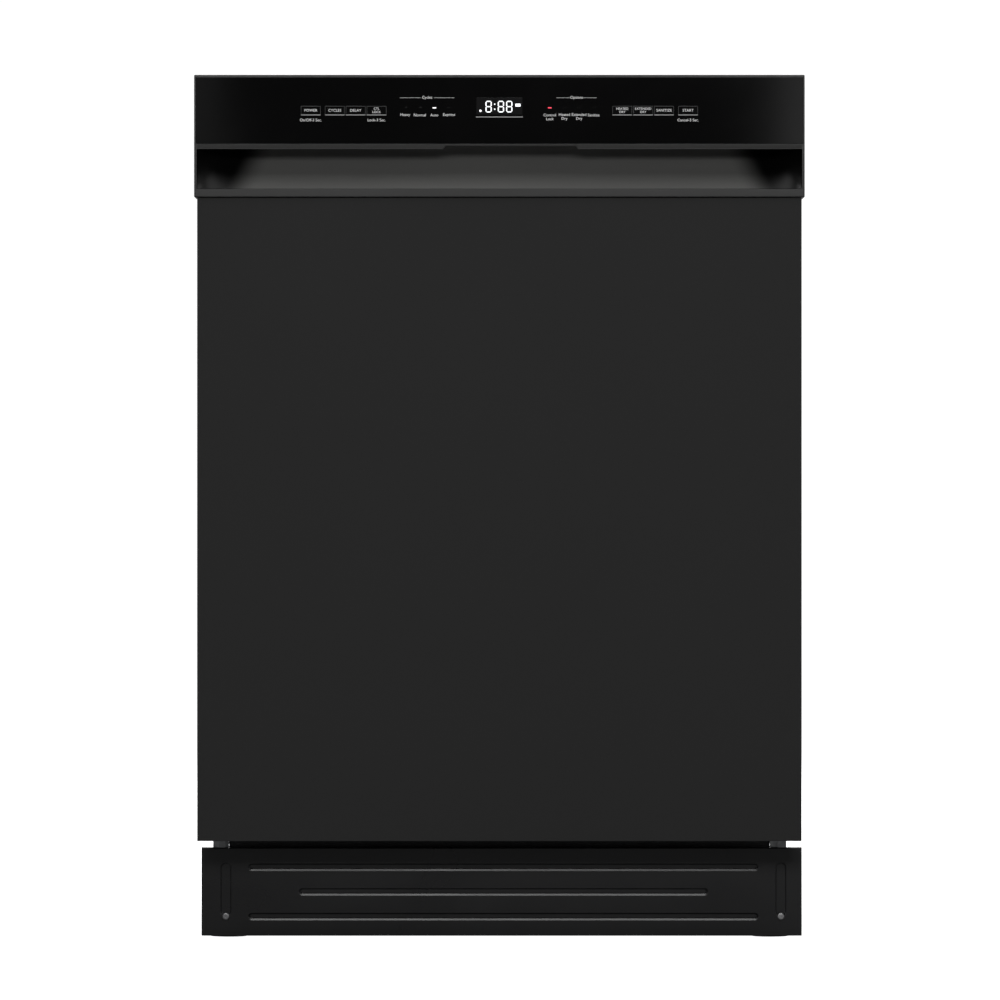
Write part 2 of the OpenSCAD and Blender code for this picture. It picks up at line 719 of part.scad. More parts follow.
module fascia() color([0.07, 0.07, 0.07]) {
    wall = fascia_wall;
    difference() {
        block([-half_w, half_w], [front_y, fascia_back], [fascia_z0, body_h]);
        block([-lens_half, lens_half], [front_y - eps, front_y + lens_t], [lens_z0, lens_z1]);
        block([-half_w + wall, half_w - wall], [front_y + lens_t + wall, fascia_back - wall],
            [grip_z1 + wall, body_h - wall]);
        block([-window_half, window_half], [front_y, front_y + 8], [key_z - 14, key_z + 20]);
        block([-pocket_half, pocket_half], [front_y - eps, pocket_back], [pocket_z0, grip_z0]);
        block([-pocket_half, pocket_half], [front_y + grip_t, pocket_back], [pocket_z0, grip_z1]);
        block([-half_w + wall, half_w - wall], [pocket_back + wall, fascia_back + eps],
            [fascia_z0 + wall, grip_z1]);
        block([-notch_w / 2, notch_w / 2], [front_y - eps, front_y + grip_t + eps],
            [grip_z0 - eps, grip_z0 + notch_h]);
        block([-pocket_half, pocket_half], [front_y - eps, front_y + 1], [grip_z0 - eps, lens_z0 + 0.01]);
        block([-18, 18], [fascia_back - wall - eps, fascia_back + eps], [latch_z - 1, latch_z + 4]);
    }
}

module control_lens() color([0.03, 0.03, 0.03]) {
    front = front_y + 0.05;
    difference() {
        block([-lens_half + 0.1, lens_half - 0.1], [front, front_y + lens_t], [lens_z0, lens_z1 - 0.1]);
        for (x = key_places)
            block([x - key_w / 2 - key_gap, x + key_w / 2 + key_gap], [front - eps, front_y + lens_t + eps],
                [key_z - key_h / 2 - key_gap, key_z + key_h / 2 + key_gap]);
        block([-display_w / 2, display_w / 2], [front - eps, front_y + lens_t + eps],
            [display_z - display_h / 2, display_z + display_h / 2]);
        for (x = light_places)
            rod_y(x, [front - eps, front_y + lens_t + eps], light_z, light_r + fit_gap / 2);
    }
}

module handle_scoop() color([0.16, 0.16, 0.16]) {
    length = 2 * pocket_half - 2 * fit_gap;
    y0 = front_y + 3;
    y1 = pocket_back - fit_gap - scoop_t;
    z0 = pocket_z0 + fit_gap;
    z1 = grip_z1 - fit_gap;
    outline = [[y0, z0], [y1, grip_z0 + 1], [y1, z1], [y1 + scoop_t, z1],
        [y1 + scoop_t, grip_z0 - 1], [y0 + 5, z0]];
    translate([-length / 2, 0, 0]) rotate([90, 0, 90]) linear_extrude(length) polygon(outline);
}

module indicator_lenses() color([0.12, 0.10, 0.10]) {
    block([-display_w / 2 + 0.2, display_w / 2 - 0.2], [front_y + 0.3, front_y + lens_t + 2],
        [display_z - display_h / 2 + 0.2, display_z + display_h / 2 - 0.2]);
    for (x = light_places)
        rod_y(x, [front_y + 0.15, board_y - 0.5], light_z, light_r);
}

module control_board() color([0.05, 0.26, 0.14]) {
    block([-board_half, board_half], [board_y, board_y + board_t], [key_z - 16, key_z + 22]);
    for (x = key_places)
        block([x - 3, x + 3], [board_y - 1.5, board_y + 0.5], [key_z - 3, key_z + 3]);
    block([-display_w / 2, display_w / 2], [front_y + lens_t + 2.2, board_y + 0.5],
        [display_z - display_h / 2, display_z + display_h / 2]);
    for (s = [-1, 1])
        block([s * 90 - 20, s * 90 + 20], [board_y + board_t - 0.5, board_y + 16], [key_z - 8, key_z + 12]);
}

module door_liner() color([0.74, 0.75, 0.76]) {
    t = liner_t;
    difference() {
        union() {
            block([-liner_half, liner_half], [liner_y - t, liner_y], [liner_z0, liner_z1]);
            difference() {
                block([-liner_half, liner_half], [liner_y - liner_return, liner_y], [liner_z0, fascia_z0 - 3]);
                block([-liner_half + t, liner_half - t], [liner_y - liner_return - eps, liner_y - t / 2],
                    [liner_z0 + t, fascia_z0]);
            }
            block([-pan_half, pan_half], [liner_y - t, pan_y], [pan_z0, pan_z1]);
        }
        block([-pan_half + t, pan_half - t], [liner_y - 2 * t, pan_y - t], [pan_z0 + t, pan_z1 - t]);
        block([-disp_half, disp_half], [liner_y - 2 * t, pan_y + eps], [disp_z0, disp_z0 + disp_h]);
        both_sides()
            block([arm_x[0] - 4, plate_x[1] + 4], [liner_y - liner_return - eps, liner_y + eps],
                [liner_z0 - eps, hinge_z + 14]);
        block([-24, 24], [liner_y - 2 * t, liner_y + eps], [pan_z1 + 3, liner_z1 + eps]);
    }
}

module dispenser_body() color([0.22, 0.23, 0.24]) {
    gap = fit_gap;
    difference() {
        union() {
            block([-disp_half + gap, disp_half - gap], [disp_y0, disp_y1],
                [disp_z0 + gap, disp_z0 + disp_h - gap]);
            block([-disp_half - 5, disp_half + 5], [pan_y + 0.01, pan_y + 3], [disp_z0 - 5, disp_z0 + disp_h + 5]);
        }
        block(cup_x, [disp_y0 + 3, disp_y1 + eps], cup_z);
        rod_y(rinse_x, [disp_y1 - 9, disp_y1 + eps], rinse_z, rinse_r - 3);
        block([-disp_half + 4, disp_half - 4], [disp_y0 - eps, disp_y0 + 1], [disp_z0 + 4, disp_z0 + disp_h - 4]);
    }
    for (z = [cup_z[0] - 9, cup_z[1] + 5.5])
        block([cup_x[0] - 10, cup_x[1] + lid_travel + 8], [disp_y1 - 0.5, disp_y1 + 5.5], [z, z + 3.5]);
}

module dispenser_lid() color([0.30, 0.31, 0.33]) {
    block([cup_x[0] - 6, cup_x[1] + 6], [lid_y, lid_y + lid_t], [cup_z[0] - 5, cup_z[1] + 5]);
    block([cup_x[0] + 8, cup_x[0] + 14], [lid_y + lid_t - 0.5, lid_y + lid_t + 3], [cup_z[0] + 14, cup_z[1] - 14]);
}

module rinse_cap() color([0.14, 0.20, 0.34]) {
    rod_y(rinse_x, [disp_y1 + 0.3, disp_y1 + 4], rinse_z, rinse_r);
    rod_y(rinse_x, [disp_y1 - 6, disp_y1 + 1], rinse_z, rinse_r - 3.5);
    block([rinse_x - 11, rinse_x + 11], [disp_y1 + 3.5, disp_y1 + 8], [rinse_z - 2, rinse_z + 2]);
}

module door_latch() color([0.48, 0.49, 0.50]) {
    z = latch_z;
    block([-34, 34], [fascia_back - 26, fascia_back - fascia_wall - 0.5], [z - 14, z + 7]);
    block([-16, 16], [fascia_back - 20, post_y[0] + 3], [z, z + 3]);
    block([-16, 16], [post_y[0] + 1, post_y[0] + 3], [z, z + 4]);
}

module bottom_seal() color([0.12, 0.12, 0.12]) {
    x = arm_x[0] - 6;
    block([-x, x], [liner_y + 0.01, liner_y + 6], [hinge_z + 4, hinge_z + 12]);
    block([-x, x], [liner_y + 0.01, liner_y + 2], [hinge_z - 6, hinge_z + 4]);
}

module key(x) color([0.04, 0.04, 0.04]) {
    block([x - key_w / 2, x + key_w / 2], [front_y + 0.1, key_back], [key_z - key_h / 2, key_z + key_h / 2]);
    block([x - key_w / 2 - 0.3, x + key_w / 2 + 0.3], [front_y + lens_t + 0.2, front_y + lens_t + 1.6],
        [key_z - key_h / 2 - key_flange, key_z + key_h / 2 + key_flange]);
}

module power_button() key(key_places[0]);
module cycles_button() key(key_places[1]);
module delay_button() key(key_places[2]);
module lock_button() key(key_places[3]);
module heated_dry_button() key(key_places[4]);
module extra_dry_button() key(key_places[5]);
module sanitize_button() key(key_places[6]);
module start_button() key(key_places[7]);

// The five wire sides of a rack stand clear of each other, so that each one is a flat solid.
module rack_box(z, h, pitch) {
    inner_x = [-rack_half + wire + weld_gap, rack_half - wire - weld_gap];
    inner_y = [rack_y0 + wire + weld_gap, rack_y1 - wire - weld_gap];
    grid_floor(inner_x, inner_y, z, pitch);
    for (x = [-rack_half, rack_half - wire])
        grid_side(x, inner_y, [z, z + h], pitch, 3);
    for (y = [rack_y0, rack_y1 - wire])
        grid_end([-rack_half, rack_half], y, [z, z + h], pitch, 3);
}

module upper_rack() color([0.66, 0.67, 0.70]) {
    rack_box(upper_z, upper_h, 56);
    both_sides()
        for (y = [shoe_y0, shoe_y1]) {
            block([rack_half - wire, rack_half + 3], [y - shoe_half, y + shoe_half], [rail_z[0] + 6, rail_z[1] - 6]);
            block([rack_half + 2, rail_x[1] - rail_wall - 0.4], [y - shoe_half, y + shoe_half],
                [rail_z[0] + rail_wall + 0.3, rail_z[1] - rail_wall - 0.3]);
        }
    rod_y(0, [upper_hub_y, rack_y1 + 14], upper_z - 5, 4.4);
    rod_z(0, upper_hub_y, [upper_arm_z + arm_t - 0.6, upper_z - 1], 10);
    rod_z(0, upper_hub_y, [upper_arm_z - 3, upper_z - 2], arm_pin_r - 1);
    rod_z(0, upper_hub_y, [upper_arm_z - 5, upper_arm_z - 0.5], 10);
}

module cup_shelf() color([0.66, 0.67, 0.70]) {
    y = [rack_y0 + 40, rack_y1 - 40];
    for (cx = spread(shelf_x + 1, shelf_x + shelf_w - wire, 34))
        block([cx, cx + wire], y, [shelf_z, shelf_z + wire]);
    for (cy = spread(y[0], y[1] - wire, 62))
        block([shelf_x, shelf_x + shelf_w], [cy, cy + wire], [shelf_z, shelf_z + wire]);
}

module lower_rack() color([0.66, 0.67, 0.70]) {
    rack_box(lower_z, lower_h, 50);
    both_sides()
        for (y = [wheel_y0, wheel_y1]) {
            block([rack_half - wire, rack_half], [y - 9, y + 9], [wheel_z - 7, lower_z + wire]);
            rod_x([rack_half - 1, wheel_x[1] + 0.8], y, wheel_z, axle_r);
            rod_x([wheel_x[1] + 0.4, wheel_x[1] + 1.6], y, wheel_z, axle_r + 2);
        }
    tine_row(fixed_tine_y, lower_z + wire + weld_gap);
}

module tine_row(y, z) {
    block([tine_x[0] - 6, tine_x[1] + 6], [y - wire / 2, y + wire / 2], [z, z + wire]);
    for (x = spread(tine_x[0], tine_x[1], 34))
        block([x - wire / 2, x + wire / 2], [y - wire / 2, y + wire / 2], [z, z + tine_h]);
}

module lower_tines() color([0.66, 0.67, 0.70]) {
    tine_row(tine_y, lower_z + wire + 1.5);
}

module cutlery_basket() color([0.34, 0.36, 0.40]) {
    wall = 2.2;
    z = lower_z + wire + fit_gap;
    y = [basket_y0, basket_y0 + basket_l];
    cells = 3;
    cell = (basket_l - wall) / cells;
    difference() {
        block(basket_x, y, [z, z + basket_h]);
        for (i = [0 : cells - 1])
            block([basket_x[0] + wall, basket_x[1] - wall], [y[0] + wall + i * cell, y[0] + (i + 1) * cell],
                [z + wall, z + basket_h + eps]);
    }
}

module lower_wheel(y) {
    both_sides()
        difference() {
            rod_x(wheel_x, y, wheel_z, wheel_r);
            rod_x([wheel_x[0] - eps, wheel_x[1] + eps], y, wheel_z, axle_r + pin_gap);
        }
}

module lower_wheels_front() color([0.48, 0.50, 0.53]) lower_wheel(wheel_y0);
module lower_wheels_rear() color([0.48, 0.50, 0.53]) lower_wheel(wheel_y1);

base_pan();
support_frame();
tub_wrap();
tub_back();
tub_floor();
damping_mats();
tub_gasket();
sump();
circulation_pump();
drain_pump();
inlet_valve();
junction_box();
heating_element();
filter_plate();
hinge_brackets();
door_springs();
feed_tube();
counter_brackets();
toe_kick();
kick_screws();
filter_cup();
float_dome();
lower_spray_arm();
top_spray_arm();
foot_front_left();
foot_front_right();
foot_rear_left();
foot_rear_right();
rail_rollers_front();
rail_rollers_rear();
upper_rails();
door_panel();
fascia();
control_lens();
handle_scoop();
indicator_lenses();
control_board();
door_liner();
dispenser_body();
door_latch();
hinge_arms();
bottom_seal();
power_button();
cycles_button();
delay_button();
lock_button();
heated_dry_button();
extra_dry_button();
sanitize_button();
start_button();
dispenser_lid();
rinse_cap();
upper_rack();
upper_spray_arm();
cup_shelf();
lower_rack();
lower_tines();
cutlery_basket();
lower_wheels_front();
lower_wheels_rear();
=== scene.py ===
"""Built-in dishwasher with a pocket-handle door: the visual model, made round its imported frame."""

import json
import logging
import math
from collections.abc import Callable, Sequence
from dataclasses import dataclass, field
from enum import Enum

import bpy
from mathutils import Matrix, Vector


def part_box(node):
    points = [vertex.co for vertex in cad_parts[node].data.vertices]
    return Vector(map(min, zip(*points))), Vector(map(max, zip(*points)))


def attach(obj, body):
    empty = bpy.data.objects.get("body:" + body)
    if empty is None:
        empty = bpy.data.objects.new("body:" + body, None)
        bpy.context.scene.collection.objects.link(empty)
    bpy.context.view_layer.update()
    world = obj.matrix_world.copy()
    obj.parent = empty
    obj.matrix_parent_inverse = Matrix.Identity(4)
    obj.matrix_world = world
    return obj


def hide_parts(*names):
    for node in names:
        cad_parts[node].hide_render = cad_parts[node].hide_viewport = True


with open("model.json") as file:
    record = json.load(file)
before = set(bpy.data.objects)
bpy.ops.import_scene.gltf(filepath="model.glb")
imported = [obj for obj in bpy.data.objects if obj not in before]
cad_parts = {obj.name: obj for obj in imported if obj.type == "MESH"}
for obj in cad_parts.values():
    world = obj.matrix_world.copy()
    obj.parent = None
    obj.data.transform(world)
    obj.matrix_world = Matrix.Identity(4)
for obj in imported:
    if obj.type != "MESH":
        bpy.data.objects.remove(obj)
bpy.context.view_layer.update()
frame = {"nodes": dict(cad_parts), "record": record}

LOG = logging.getLogger("dishwasher")
MM = 0.001

Corner = tuple[float, float, float]
Flat = tuple[float, float]
Piece = bpy.types.Object


# ---------------------------------------------------------------------------------------------
# The bench: the few tools that every piece is made with. Sizes are millimetres.
# ---------------------------------------------------------------------------------------------


class Axis(Enum):
    """The row axis that an outline is pushed along."""

    X = 0
    Y = 1
    Z = 2

    def place(self, u: float, v: float, depth: float) -> Vector:
        """Turn outline coordinates and a depth into a point, in millimetres."""
        spots = {Axis.X: (depth, u, v), Axis.Y: (u, depth, v), Axis.Z: (u, v, depth)}
        return Vector(spots[self])


def select_only(*pieces: Piece) -> None:
    """Deselect everything, then select some pieces and make the first one active.

    Args:
        pieces: The pieces to select; none leaves nothing selected.
    """
    bpy.ops.object.select_all(action="DESELECT")
    for piece in pieces:
        piece.select_set(True)
    if pieces:
        bpy.context.view_layer.objects.active = pieces[0]


def settle(name: str) -> Piece:
    """Name the new active piece and put its place, turn and size into its mesh.

    Args:
        name: The piece's name.

    Returns:
        The piece, standing at the origin.
    """
    piece = bpy.context.view_layer.objects.active
    piece.name = name
    piece.data.name = name
    bpy.ops.object.transform_apply(location=True, rotation=True, scale=True)
    return piece


def block(name: str, low: Corner, high: Corner) -> Piece:
    """Add a box between two corners.

    Args:
        name: The piece's name.
        low: The lowest corner in millimetres.
        high: The highest corner in millimetres.

    Returns:
        The box.
    """
    select_only()
    near, far = Vector(low) * MM, Vector(high) * MM
    bpy.ops.mesh.primitive_cube_add(size=1, location=(near + far) / 2)
    bpy.context.view_layer.objects.active.scale = far - near
    return settle(name)


def rod(name: str, start: Corner, end: Corner, radius: float, sides: int = 32,
        tip: float | None = None) -> Piece:
    """Add a round bar or cone between two points.

    Args:
        name: The piece's name.
        start: The middle of one end in millimetres.
        end: The middle of the other end in millimetres.
        radius: The radius in millimetres.
        sides: How many flats go round it.
        tip: The radius at the far end, when it differs.

    Returns:
        The bar.
    """
    select_only()
    a, b = Vector(start) * MM, Vector(end) * MM
    turn = (b - a).to_track_quat("Z", "Y").to_euler()
    far = radius if tip is None else tip
    bpy.ops.mesh.primitive_cone_add(
        vertices=sides, radius1=radius * MM, radius2=far * MM, depth=(b - a).length, location=(a + b) / 2,
        rotation=turn
    )
    return settle(name)


def ring(name: str, centre: Corner, radius: float, thickness: float, axis: Axis, sides: int = 48) -> Piece:
    """Add a round ring.

    Args:
        name: The piece's name.
        centre: Its middle in millimetres.
        radius: The radius of its centre line.
        thickness: The radius of its wire.
        axis: The axis that it goes round.
        sides: How many segments go round it.

    Returns:
        The ring.
    """
    select_only()
    turns = {Axis.X: (0, math.pi / 2, 0), Axis.Y: (math.pi / 2, 0, 0), Axis.Z: (0, 0, 0)}
    bpy.ops.mesh.primitive_torus_add(
        location=Vector(centre) * MM,
        rotation=turns[axis],
        major_segments=sides,
        minor_segments=12,
        major_radius=radius * MM,
        minor_radius=thickness * MM,
    )
    return settle(name)


def prism(name: str, outline: Sequence[Flat], axis: Axis, start: float, end: float) -> Piece:
    """Push a flat outline along an axis into a solid.

    Args:
        name: The piece's name.
        outline: The outline's points in order, in the two axes left over.
        axis: The axis to push along.
        start: Where the solid starts on that axis.
        end: Where it ends.

    Returns:
        The solid.
    """
    select_only()
    bpy.ops.mesh.primitive_circle_add(vertices=len(outline), radius=1, fill_type="NGON", location=(0, 0, 0))
    piece = bpy.context.view_layer.objects.active
    for vertex, (u, v) in zip(piece.data.vertices, outline):
        vertex.co = axis.place(u, v, start) * MM
    bpy.ops.object.mode_set(mode="EDIT")
    bpy.ops.mesh.select_all(action="SELECT")
    step = axis.place(0, 0, end - start) * MM
    bpy.ops.mesh.extrude_region_move(TRANSFORM_OT_translate={"value": step})
    bpy.ops.mesh.select_all(action="SELECT")
    bpy.ops.mesh.normals_make_consistent(inside=False)
    bpy.ops.object.mode_set(mode="OBJECT")
    return settle(name)


def formed(name: str, us: Sequence[float], vs: Sequence[float],
           shape: Callable[[float, float], Corner]) -> Piece:
    """Form a sheet: a grid with lines at chosen places, each crossing put where a rule says.

    Args:
        name: The piece's name.
        us: The places of the grid lines one way.
        vs: The places of the grid lines the other way.
        shape: The rule from a crossing to its point in millimetres.

    Returns:
        The open sheet.
    """
    select_only()
    bpy.ops.mesh.primitive_grid_add(x_subdivisions=len(us) - 1, y_subdivisions=len(vs) - 1, size=2)
    piece = bpy.context.view_layer.objects.active
    for vertex in piece.data.vertices:
        column = round((vertex.co.x + 1) / 2 * (len(us) - 1))
        row = round((vertex.co.y + 1) / 2 * (len(vs) - 1))
        vertex.co = Vector(shape(us[column], vs[row])) * MM
    return settle(name)


def grid_lines(low: float, high: float, dense: Sequence[Flat], step: float,
               loose: Sequence[float] = ()) -> list[float]:
    """Place a sheet's grid lines: close together in some stretches, and single ones elsewhere.

    Args:
        low: The first line.
        high: The last line.
        dense: The stretches that need close lines.
        step: The spacing there.
        loose: The single lines.

    Returns:
        The lines in order.
    """
    lines = {low, high, *loose}
    for start, end in dense:
        count = max(1, round((end - start) / step))
        lines.update(start + (end - start) * k / count for k in range(count + 1))
    return sorted(line for line in lines if low <= line <= high)


def use(piece: Piece, kind: str, **settings: object) -> None:
    """Add a modifier to a piece and apply it.

    Args:
        piece: The piece to change.
        kind: The modifier's type.
        settings: Its settings.
    """
    select_only(piece)
    modifier = piece.modifiers.new(kind.lower(), kind)
    for key, value in settings.items():
        setattr(modifier, key, value)
    bpy.ops.object.modifier_apply(modifier=modifier.name)


def thicken(piece: Piece, wall: float, offset: float = -1.0) -> Piece:
    """Give an open sheet a wall thickness in millimetres."""
    use(piece, "SOLIDIFY", thickness=wall * MM, offset=offset, use_even_offset=True)
    return piece


def smooth(piece: Piece, angle: float = 40.0) -> Piece:
    """Shade a piece smooth wherever its faces meet at less than an angle in degrees.

    Args:
        piece: The piece.
        angle: The angle in degrees.

    Returns:
        The piece.
    """
    select_only(piece)
    bpy.ops.object.shade_smooth_by_angle(angle=math.radians(angle))
    return piece


def round_edges(piece: Piece, width: float, segments: int = 2, angle: float = 35.0) -> Piece:
    """Round every edge of a piece that is sharper than an angle.

    Args:
        piece: The piece.
        width: The width of the rounding in millimetres.
        segments: How many facets it has.
        angle: The angle in degrees past which an edge is rounded.

    Returns:
        The same piece.
    """
    settings = {"width": width * MM, "segments": segments, "limit_method": "ANGLE",
                "angle_limit": math.radians(angle)}
    use(piece, "BEVEL", use_clamp_overlap=True, **settings)
    return flatten(piece, 40)


def flatten(piece: Piece, angle: float = 30.0) -> Piece:
    """Shade a cut piece so that its large flat faces stay flat up to their rounded edges.

    Args:
        piece: The piece.
        angle: The angle in degrees.

    Returns:
        The piece.
    """
    smooth(piece, angle)
    use(piece, "WEIGHTED_NORMAL", keep_sharp=True, weight=100)
    return piece


def carve(piece: Piece, *cutters: Piece) -> Piece:
    """Cut other pieces out of a piece, and throw them away.

    Args:
        piece: The piece to cut.
        cutters: The pieces that cut it.

    Returns:
        The cut piece.
    """
    for cutter in cutters:
        use(piece, "BOOLEAN", operation="DIFFERENCE", solver="EXACT", object=cutter)
        bpy.data.objects.remove(cutter)
    if piece.data.has_custom_normals:
        bpy.ops.mesh.customdata_custom_splitnormals_clear()
    return piece


def join(name: str, *pieces: Piece) -> Piece:
    """Join pieces into one object, each keeping its own skin.

    Args:
        name: The joined piece's name.
        pieces: The pieces to join.

    Returns:
        The joined piece.
    """
    select_only(*pieces)
    if len(pieces) > 1:
        bpy.ops.object.join()
    pieces[0].name = name
    pieces[0].data.name = name
    return pieces[0]


def row(piece: Piece, step: Corner, count: int) -> Piece:
    """Repeat a piece in a row.

    Args:
        piece: The piece to repeat.
        step: The step from one to the next in millimetres.
        count: How many there are in all.

    Returns:
        The same piece, with its copies.
    """
    shift = Vector(step) * MM
    use(piece, "ARRAY", count=count, use_relative_offset=False, use_constant_offset=True,
        constant_offset_displace=shift)
    return piece


def spread(piece: Piece, room: Corner, pitch: float) -> Piece:
    """Repeat a piece evenly along a stretch, as near to a spacing as fits.

    Args:
        piece: The piece to repeat, at the start of the stretch.
        room: The way from the first copy to the last in millimetres.
        pitch: The spacing to come near to.

    Returns:
        The same piece, with its copies.
    """
    count = round(math.hypot(*room) / pitch)
    return row(piece, tuple(part / count for part in room), count + 1)


def both_sides(piece: Piece) -> Piece:
    """Add a piece's mirror image across the machine."""
    use(piece, "MIRROR", use_axis=(True, False, False), use_mirror_merge=False)
    return piece


def pick_faces(piece: Piece, test: Callable[[Vector, Vector], bool]) -> None:
    """Select the faces that pass a test, and no others.

    Args:
        piece: The piece, in object mode.
        test: The test on a face's middle and normal, in metres.
    """
    bpy.context.tool_settings.mesh_select_mode = (False, False, True)
    for group in (piece.data.vertices, piece.data.edges):
        group.foreach_set("select", [False] * len(group))
    for face in piece.data.polygons:
        face.select = test(face.center, face.normal)


def sink(piece: Piece, facing: Corner, wall: float, depth: float) -> Piece:
    """Sink a well into the faces that look one way, leaving a rim round them.

    Args:
        piece: The piece.
        facing: The direction that the faces look in.
        wall: The width of the rim in millimetres.
        depth: The depth of the well in millimetres.

    Returns:
        The same piece.
    """
    select_only(piece)
    toward = Vector(facing)
    pick_faces(piece, lambda middle, normal: normal.dot(toward) > 0.99)
    bpy.ops.object.mode_set(mode="EDIT")
    bpy.ops.mesh.inset(thickness=wall * MM, depth=0)
    bpy.ops.mesh.extrude_region_move(TRANSFORM_OT_translate={"value": toward * -depth * MM})
    bpy.ops.object.mode_set(mode="OBJECT")
    return piece


def bent(points: Sequence[Corner], radius: float, closed: bool = False, steps: int = 5) -> list[Corner]:
    """Round the corners of a wire's path.

    Args:
        points: The path's corners in millimetres.
        radius: How far each bend reaches along the wire.
        closed: Whether the path joins its own start.
        steps: How many points each bend has.

    Returns:
        The path with its bends.
    """
    corners = [Vector(p) for p in points]
    path: list[Corner] = []
    for i, corner in enumerate(corners):
        if not closed and i in (0, len(corners) - 1):
            path.append(tuple(corner))
            continue
        before, after = corners[i - 1], corners[(i + 1) % len(corners)]
        start = corner + (before - corner).normalized() * radius
        end = corner + (after - corner).normalized() * radius
        for k in range(steps + 1):
            t = k / steps
            path.append(tuple(start * (1 - t) ** 2 + corner * (2 * t * (1 - t)) + end * t * t))
    return path


def wire(name: str, path: Sequence[Corner], radius: float, closed: bool = False,
         roundness: int = 1) -> Piece:
    """Draw a round wire along a path and make it a mesh.

    Args:
        name: The piece's name.
        path: The points of its centre line in millimetres.
        radius: The wire's radius in millimetres.
        closed: Whether it joins its own start.
        roundness: How finely its section is divided.

    Returns:
        The wire.
    """
    select_only()
    bpy.ops.curve.primitive_nurbs_path_add()
    curve = bpy.context.view_layer.objects.active.data
    curve.splines.clear()
    spline = curve.splines.new("POLY")
    spline.points.add(len(path) - 1)
    for point, place in zip(spline.points, path):
        point.co = (*(Vector(place) * MM), 1)
    spline.use_cyclic_u = closed
    curve.dimensions = "3D"
    curve.bevel_depth = radius * MM
    curve.bevel_resolution = roundness
    curve.use_fill_caps = not closed
    bpy.ops.object.convert(target="MESH")
    return smooth(settle(name), 60)


def lettering(words: str, height: float, x: float, y: float, z: float) -> Piece:
    """Print generic words on a front that faces -Y.

    Args:
        words: The words.
        height: The font size in millimetres.
        x: The middle of the words.
        y: The front that they are printed on.
        z: The middle of their height.

    Returns:
        The words as a thin mesh.
    """
    select_only()
    bpy.ops.object.text_add(location=Vector((x, y, z)) * MM, rotation=(math.pi / 2, 0, 0))
    text = bpy.context.view_layer.objects.active.data
    text.body = words
    text.size = height * MM
    text.extrude = 0.02 * MM
    text.align_x = "CENTER"
    text.align_y = "CENTER"
    text.resolution_u = 3
    bpy.ops.object.convert(target="MESH")
    piece = settle(words)
    heights = [corner[2] for corner in piece.bound_box]
    bpy.ops.transform.translate(value=(0, 0, z * MM - (min(heights) + max(heights)) / 2))
    bpy.ops.object.transform_apply(location=True, rotation=False, scale=False)
    return piece


# ---------------------------------------------------------------------------------------------
# Finishes
# ---------------------------------------------------------------------------------------------


def new_group(name: str, inputs: dict[str, float], outputs: Sequence[str]) -> bpy.types.NodeTree:
    """Start a shader group with a Vector input.

    Args:
        name: The group's name.
        inputs: Its number inputs and their usual values.
        outputs: The names of its number outputs.

    Returns:
        The empty group.
    """
    group = bpy.data.node_groups.new(name, "ShaderNodeTree")
    group.interface.new_socket("Vector", in_out="INPUT", socket_type="NodeSocketVector")
    for key, value in inputs.items():
        group.interface.new_socket(key, in_out="INPUT", socket_type="NodeSocketFloat").default_value = value
    for key in outputs:
        group.interface.new_socket(key, in_out="OUTPUT", socket_type="NodeSocketFloat")
    return group


class Wiring:
    """Adds nodes to a tree and joins them up."""

    def __init__(self, tree: bpy.types.NodeTree) -> None:
        """Keep the tree that the nodes go in."""
        self.tree = tree

    def add(self, kind: str, settings: dict[str, object] | None = None, **links: object) -> bpy.types.Node:
        """Add a node, set it up and feed it.

        Args:
            kind: The node's type, without its ShaderNode prefix.
            settings: The node's own properties.
            links: Its inputs by name, with _ for a space: a socket to join, or a value.

        Returns:
            The node.
        """
        node = self.tree.nodes.new(kind if kind.startswith("NodeGroup") else "ShaderNode" + kind)
        for key, value in (settings or {}).items():
            setattr(node, key, value)
        for key, value in links.items():
            socket = node.inputs[int(key[1:])] if key[1:].isdigit() else node.inputs[key.replace("_", " ")]
            if isinstance(value, bpy.types.NodeSocket):
                self.tree.links.new(value, socket)
            else:
                socket.default_value = value
        return node


